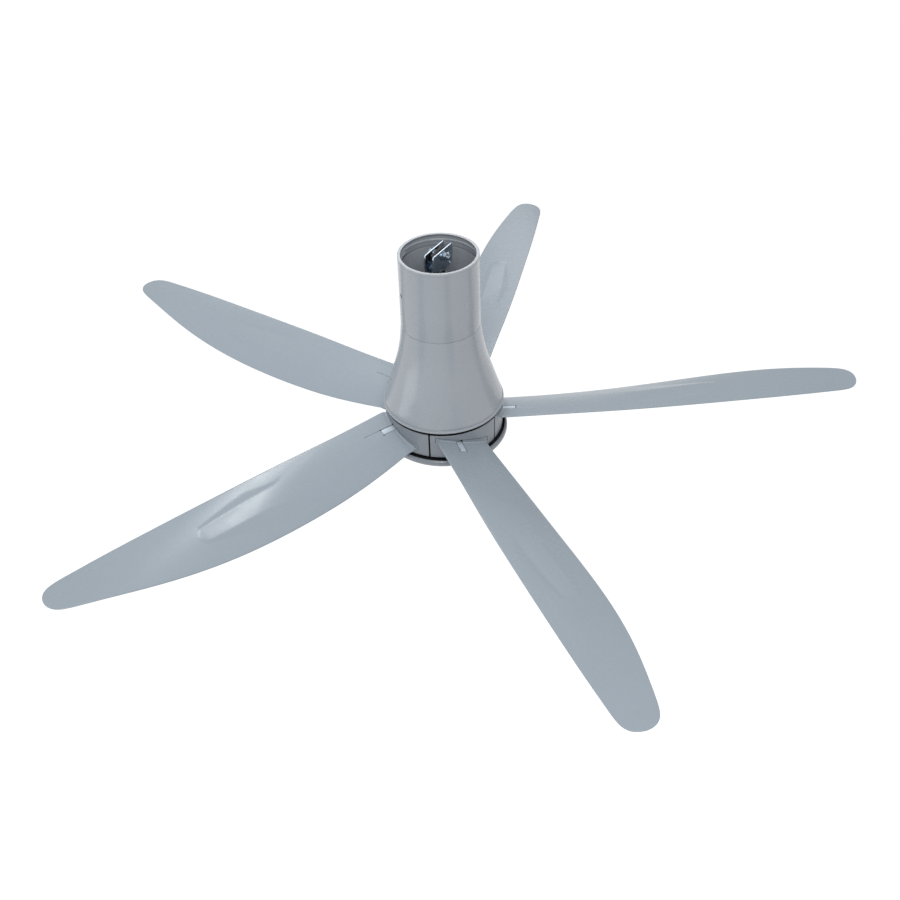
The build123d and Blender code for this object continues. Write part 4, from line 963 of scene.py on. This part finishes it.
def latch_cuts():
    """Channel, rivet room, pocket, corner holes and step, in the latch's frame. Widths and depths
    differ by a hair, because a cut is cleaner where no two tools share a face."""
    half = CHANNEL_HALF
    channel = prism("channel", rectangle(78, POCKET_X[0] + 2.2, -half, half), CHANNEL_FLOOR, 9)
    room = prism("room", rectangle(78.2, 93.5, -half + 0.01, half - 0.01), POCKET_FLOOR, -1)
    pocket = prism("pocket", rectangle(*POCKET_X, -half + 0.02, half - 0.02), POCKET_FLOOR, 9.2)
    corners = [prism("corner", circle(1.5, POCKET_X[1], side, 20), POCKET_FLOOR + 0.02, 9.4)
               for side in (-half, half)]
    wedge = [(-half, -1.0), (-half, 1.5), (-half + 6.0, 1.5), (-half + 6.0, 0.6)]
    step = capped("step", np.array([[(x, y, z) for y, z in wedge] for x in (LATCH_END, STEP_END)]))
    return [placed(tool, latch_place()) for tool in (channel, room, pocket, *corners, step)]


blade = carve(blade_body(), latch_cuts())
for number, angle in BLADES:
    show(f"blade_shell_{number}", blade, "rotor", BLADE, [f"blade_{number}"], turn=angle)

# %% [markdown]
# A flat strip bent over its length is a section carried along a path: the latch is one, with a lip
# turned down at its outer end, and the hanger bracket is a wider one, bent to a U. The half width may
# change along the way, and both ends are drawn in over the edge's radius.

# %% Bent strips and the latches
def resampled(path, count):
    """Evenly spaced points on the same path."""
    along = chord_lengths(path)
    t = np.linspace(0, along[-1], count)
    return np.stack([np.interp(t, along, path[:, k]) for k in range(2)], 1)


def bent_strip(name, path, half_width, thickness, edge, plane):
    """A rounded rectangle carried along a path: its point at (a, b) goes to path + a * across +
    b * normal. The plane says which axes the path's two coordinates and the width lie on."""
    way = np.gradient(path, axis=0)
    way /= np.linalg.norm(way, axis=1, keepdims=True)
    normal = np.stack([-way[:, 1], way[:, 0]], 1)
    along = chord_lengths(path)
    end = np.minimum(along, along[-1] - along)
    drawn = edge * (1 - np.sqrt(np.clip(1 - (1 - np.clip(end / edge, 0, 1)) ** 2, 0, 1)))
    a = np.radians(np.concatenate([np.linspace(k * 90, k * 90 + 90, 4) for k in range(4)]))
    side_a = np.repeat([1, -1, -1, 1], 4)
    side_b = np.repeat([1, 1, -1, -1], 4)
    width = (half_width - edge)[:, None] * side_a + (edge - drawn)[:, None] * np.cos(a)
    rise = (thickness / 2 - edge) * side_b + (edge - drawn)[:, None] * np.sin(a)
    flat = path[:, None, :] + rise[..., None] * normal[:, None, :]
    points = np.zeros((*width.shape, 3))
    points[..., plane] = np.concatenate([flat, width[..., None]], -1)
    return capped(name, points)


def end_steps(path, edge):
    """A path with a few extra stations close to each end, for the rounding there."""
    a = edge * (1 - np.cos(np.linspace(0, math.pi / 2, 4)))[1:]
    first, last = path[1] - path[0], path[-2] - path[-1]
    first, last = first / np.linalg.norm(first), last / np.linalg.norm(last)
    return np.concatenate([path[:1], path[0] + a[:, None] * first, path[1:-1],
                           path[-1] + a[::-1, None] * last, path[-1:]])


LATCH_START, LATCH_MIDDLE, LATCH_LIP = 84.0, -0.75, -3.6
LATCH_HALF, LATCH_THICKNESS, LATCH_EDGE = 5.0, 1.0, 0.3


def latch():
    """A flat strip with a lip turned down at its end and a hole for the rivet."""
    corners = [(LATCH_START, LATCH_MIDDLE), (LATCH_END, LATCH_MIDDLE), (LATCH_END, LATCH_LIP)]
    path = end_steps(rounded(corners, (0, 1.1, 0), steps=8, closed=False), LATCH_EDGE)
    half_width = np.full(len(path), LATCH_HALF)
    strip = bent_strip("latch", path, half_width, LATCH_THICKNESS, LATCH_EDGE, [0, 2, 1])
    hole = prism("hole", circle(2.13, RIVET_X, 0, 32), -3, 2)
    return placed(carve(strip, [hole]), latch_place())


strip = latch()
for number, angle in BLADES:
    show(f"latch_strip_{number}", strip, f"latch_{number}", SPRING, [f"latch_{number}"],
         turn=angle)

# %% [markdown]
# The hanger bracket is one zinc-plated plate, bent to a U round the pipe's top. Its cheeks are wide at
# the bolt and narrow at the foot. Between them a rubber saddle on a steel sleeve rides on the hook.

# %% Hanger bracket and saddle
CHEEK_GAP, PLATE = 12.8, 2.6
CHEEK_TOP, CHEEK_BULGE, CHEEK_HIP, CHEEK_FOOT = (27.3, 23.0), (30.0, 6.0), (27.5, -8.0), (13.5, -16.0)
BRACKET_LOW, BEND_RADIUS, PLATE_EDGE = -19.0, 7.0, 0.5
BOLT_Z, BOLT_HOLE = 13.0, 4.25
SADDLE_HALF, SADDLE_THICKNESS, SLEEVE_BORE = 19.0, 6.0, 7.05
SADDLE_SIDE, SADDLE_TOP = (13.0, 19.4), 22.2


def cheek_width(z):
    """Half width at a height: a parabola through top, bulge and hip, then straight to the foot."""
    widths, heights = zip(CHEEK_TOP, CHEEK_BULGE, CHEEK_HIP)
    wide = np.polyval(np.polyfit(heights, widths, 2), z)
    foot = np.interp(z, [CHEEK_FOOT[1], CHEEK_HIP[1]], [CHEEK_FOOT[0], CHEEK_HIP[0]])
    return np.where(z > CHEEK_HIP[1], wide, foot)


def along_y(mesh):
    """Turns an upright mesh so that its height runs along Y, and its own Y along Z."""
    return placed(mesh, turned(90, "X"))


def bracket():
    """A plate bent down one cheek, across the foot and up the other, with a hole through both."""
    half, low, top = (CHEEK_GAP + PLATE) / 2, BRACKET_LOW + PLATE / 2, CHEEK_TOP[1]
    bend = BEND_RADIUS - PLATE / 2
    corners = [(half, top), (half, low), (-half, low), (-half, top)]
    path = resampled(rounded(corners, (0, bend, bend, 0), steps=12, closed=False), 150)
    path = end_steps(path, PLATE_EDGE)
    plate = bent_strip("bracket", path, cheek_width(path[:, 1]), PLATE, PLATE_EDGE, [1, 2, 0])
    hole = along_y(prism("hole", circle(BOLT_HOLE, 0, BOLT_Z, 40), -20, 20))
    return carve(plate, [hole])


def arc_over(half, rise, count):
    """Arc that rises over a chord from -half to half: its radius is (half^2 + rise^2) / (2 rise)."""
    radius = (half**2 + rise**2) / (2 * rise)
    a = math.asin(half / radius) * np.linspace(-1, 1, count)
    return np.stack([radius * np.sin(a), rise - radius + radius * np.cos(a)], 1)


def saddle():
    """A block between two arcs: the hook's round below, a flatter one above; bored for the sleeve."""
    low, high = SADDLE_SIDE
    under = arc_over(SADDLE_HALF, low, 40) * (1, -1) + (0, low)
    over = arc_over(SADDLE_HALF, SADDLE_TOP - high, 16)[::-1] + (0, high)
    half = SADDLE_THICKNESS / 2
    block = along_y(prism("saddle", np.concatenate([under, over]), -half, half, edge=0.7))
    return carve(block, [along_y(prism("bore", circle(SLEEVE_BORE, 0, BOLT_Z, 64), -5, 5))])


show("bracket_plate", bracket(), "hanger", ZINC, ["hanger_bracket"])
show("saddle_block", saddle(), "saddle", RUBBER, ["rubber_saddle"])

# %% [markdown]
# The bolt, its nut and two washers. A hexagon's radius is apothem / cos(angle to the flat's middle).
# The chamfer of its faces is turned, so each face is a round flat, and falls away from there by 30
# degrees out to the hexagon's edge. The thread is a ridge whose height depends on the place along
# the bolt less the share of the turn, so that it climbs.

# %% Bolt, nut and washers
HEX_RADIUS, HEAD_HEIGHT, NUT_HEIGHT = 6.5, 5.3, 6.5
BOLT_RADIUS, THREAD_PITCH = 4.0, 1.25
WASHER_RADIUS, WASHER_THICKNESS = 8.4, 1.6
WASHER_FACE = CHEEK_GAP / 2 + PLATE + WASHER_THICKNESS
BOLT_TIP, BOLT_TIP_RADIUS = -22.2, 3.1
PIN_BORE, PIN_FROM_TIP = 1.25, 2.6
THREAD_END, THREAD_DEPTH = 4.0, 0.55
AROUND = 2 * math.pi * np.arange(72) / 72


def rows_around(*rows):
    """Rows of (radius, height), where each of the two is one number or one for every angle."""
    return np.array([[np.broadcast_to(part, AROUND.shape) for part in row] for row in rows])


def sheet_around(name, rows, close_rows=False):
    """The sheet through such rows, each point at its radius and height over its angle."""
    radius, height = rows[:, 0], rows[:, 1]
    points = np.stack([radius * np.cos(AROUND), radius * np.sin(AROUND), height], -1)
    return to_mesh(name, points, sheet_faces(len(rows), len(AROUND), close_rows, close_columns=True))


def hex_rows(low, high, inner):
    """From the inner radius over both chamfered faces of a hexagon; the chamfer falls by 30 degrees."""
    edge = HEX_RADIUS / np.cos((AROUND + math.pi / 6) % (math.pi / 3) - math.pi / 6)
    flat = HEX_RADIUS * 0.96
    drop = (edge - flat) * math.tan(math.radians(30))
    return rows_around((inner, low), (flat, low), (edge, low + drop), (edge, high - drop), (flat, high),
                       (inner, high))


def hex_nut():
    """A hexagon round a plain bore."""
    return sheet_around("nut", hex_rows(0.0, NUT_HEIGHT, BOLT_RADIUS + 0.02), close_rows=True)


def hex_bolt():
    """One sheet from the tip's middle along the thread and the shank and over the head."""
    z = np.arange(BOLT_TIP + 0.6, THREAD_END, 0.16)[:, None]
    ridge = abs((z / THREAD_PITCH - AROUND / (2 * math.pi)) % 1 - 0.5) * 2
    depth = THREAD_DEPTH * np.clip((THREAD_END - 0.5 - z) / 2, 0, 1)
    thread = rows_around(*zip(BOLT_RADIUS - 0.02 - depth * ridge, z))
    tip = rows_around((0.0, BOLT_TIP), (BOLT_TIP_RADIUS, BOLT_TIP))
    shank = rows_around((BOLT_RADIUS, THREAD_END + 0.2), (BOLT_RADIUS, WASHER_FACE))
    head = hex_rows(WASHER_FACE, WASHER_FACE + HEAD_HEIGHT, 0.0)[1:]
    return on_bolt(sheet_around("bolt", np.concatenate([tip, thread, shank, head])), 0)


def on_bolt(mesh, start):
    """Lays a mesh whose height runs upwards along the bolt, from a place along Y."""
    return placed(mesh, shift(0, start, BOLT_Z), turned(-90, "X"))


def washers():
    """Two flat rings, each against the outside of a cheek."""
    ring = rounded([(BOLT_HOLE, 0), (WASHER_RADIUS, 0), (WASHER_RADIUS, WASHER_THICKNESS),
                    (BOLT_HOLE, WASHER_THICKNESS)], (0.1, 0.3, 0.4, 0.2), steps=3)
    places = (-WASHER_FACE, WASHER_FACE - WASHER_THICKNESS)
    return joined("washers", [on_bolt(lathe("washer", ring, 64), place) for place in places])


pin_hole = prism("pin_hole", circle(PIN_BORE, 0, BOLT_TIP + PIN_FROM_TIP, 20), BOLT_Z - 6, BOLT_Z + 6)
show("bolt_turned", carve(hex_bolt(), [pin_hole]), "hanger", ZINC, ["hanger_bolt"])
show("nut_hex", on_bolt(hex_nut(), -WASHER_FACE - NUT_HEIGHT), "hanger", ZINC, ["hanger_nut"])
show("washer_pair", washers(), "hanger", ZINC, ["hanger_washers"])

# %% [markdown]
# The light. The strongest lamp hangs in front and above, which keeps the sides that face the camera
# bright. A soft window stands low on the left, so that the canopy fades from left to right as a turned
# shape does beside a window; a panel behind draws the far rims, and a small lamp close by puts the
# highlight on one blade's raised panel. The sky is pale. The floor lies well below, as it does under
# a ceiling fan; it is plain and pale, and a little of its own light lifts it to white for the camera
# and for mirrors, on top of the light and shadow that fall on it.

# %% Light, floor and world
FLOOR_Z, FLOOR_HALF, FLOOR_GLOW = -2.75, 60.0, 0.55
PICTURE_TURN = math.radians(-57.63)


def from_picture(x, y, z):
    """A place given along the picture's right, its depth and upwards, in metres."""
    c, s = math.cos(PICTURE_TURN), math.sin(PICTURE_TURN)
    return np.array([c * x - s * y, s * x + c * y, z])


def soft_lamp(name, place, aim, width, height, power, colour):
    """A rectangular lamp at a place, facing a point."""
    data = bpy.data.lights.new(name, "AREA")
    data.shape, data.size, data.size_y = "RECTANGLE", width, height
    data.energy, data.color = power, colour
    lamp = bpy.data.objects.new(name, data)
    back = from_picture(*place) - from_picture(*aim)
    back /= np.linalg.norm(back)
    across = np.cross((0, 0, 1.0), back)
    across /= np.linalg.norm(across)
    columns = np.eye(4)
    columns[:3, :3] = np.stack([across, np.cross(back, across), back], 1)
    columns[:3, 3] = from_picture(*place)
    lamp.matrix_world = Matrix(columns.tolist())
    bpy.context.scene.collection.objects.link(lamp)


soft_lamp("left_window", (-3.0, -1.1, -0.4), (0, 0, -0.2), 2.2, 1.4, 16, (0.93, 0.97, 1.0))
soft_lamp("back_panel", (-0.1, 2.6, 1.6), (0, 0, 0), 1.6, 0.9, 12, (1.0, 0.99, 0.96))
soft_lamp("front_panel", (0.0, -2.3, 2.3), (0, 0, -0.1), 1.8, 1.4, 42.5, (1.0, 1.0, 1.0))
soft_lamp("near_lamp", (-0.29, 0.455, 0.73), (-0.35, -0.28, -0.3), 0.2, 0.2, 2.1, (1.0, 1.0, 1.0))


def clamped_math(tree, operation, first):
    """A Math node between 0 and 1 with its first number joined."""
    node = tree.nodes.new("ShaderNodeMath")
    node.operation, node.use_clamp = operation, True
    tree.links.new(first, node.inputs[0])
    return node


def floor_material():
    """Plain and pale, with a little light of its own for what the camera and mirrors see."""
    material = bpy.data.materials.new("floor_white")
    material.use_nodes = True
    tree = material.node_tree
    shader = tree.nodes["Principled BSDF"]
    shader.inputs["Base Color"].default_value = (0.8, 0.8, 0.8, 1)
    shader.inputs["Roughness"].default_value = 0.9
    shader.inputs["Emission Color"].default_value = (1, 1, 1, 1)
    path = tree.nodes.new("ShaderNodeLightPath")
    seen = path.outputs["Is Camera Ray"]
    for kind in ("Is Glossy Ray", "Is Transmission Ray"):
        step = clamped_math(tree, "ADD", seen)
        tree.links.new(path.outputs[kind], step.inputs[1])
        seen = step.outputs[0]
    level = clamped_math(tree, "MULTIPLY", seen)
    level.inputs[1].default_value = FLOOR_GLOW
    tree.links.new(level.outputs[0], shader.inputs["Emission Strength"])
    return material


def pale_floor():
    """One large square, far below the fan."""
    mesh = bpy.data.meshes.new("floor")
    corners = [(x * FLOOR_HALF, y * FLOOR_HALF, FLOOR_Z) for x, y in ((-1, -1), (1, -1), (1, 1), (-1, 1))]
    mesh.from_pydata(corners, [], [(0, 1, 2, 3)])
    mesh.materials.append(floor_material())
    floor = bpy.data.objects.new("floor", mesh)
    bpy.context.scene.collection.objects.link(floor)


def pale_sky(strength):
    """The same pale light from everywhere."""
    world = bpy.data.worlds.new("sky")
    bpy.context.scene.world = world
    world.use_nodes = True
    sky = world.node_tree.nodes["Background"]
    sky.inputs["Color"].default_value = (0.97, 0.985, 1.0, 1)
    sky.inputs["Strength"].default_value = strength


pale_floor()
pale_sky(0.58)
bpy.context.scene.view_settings.view_transform = "Standard"
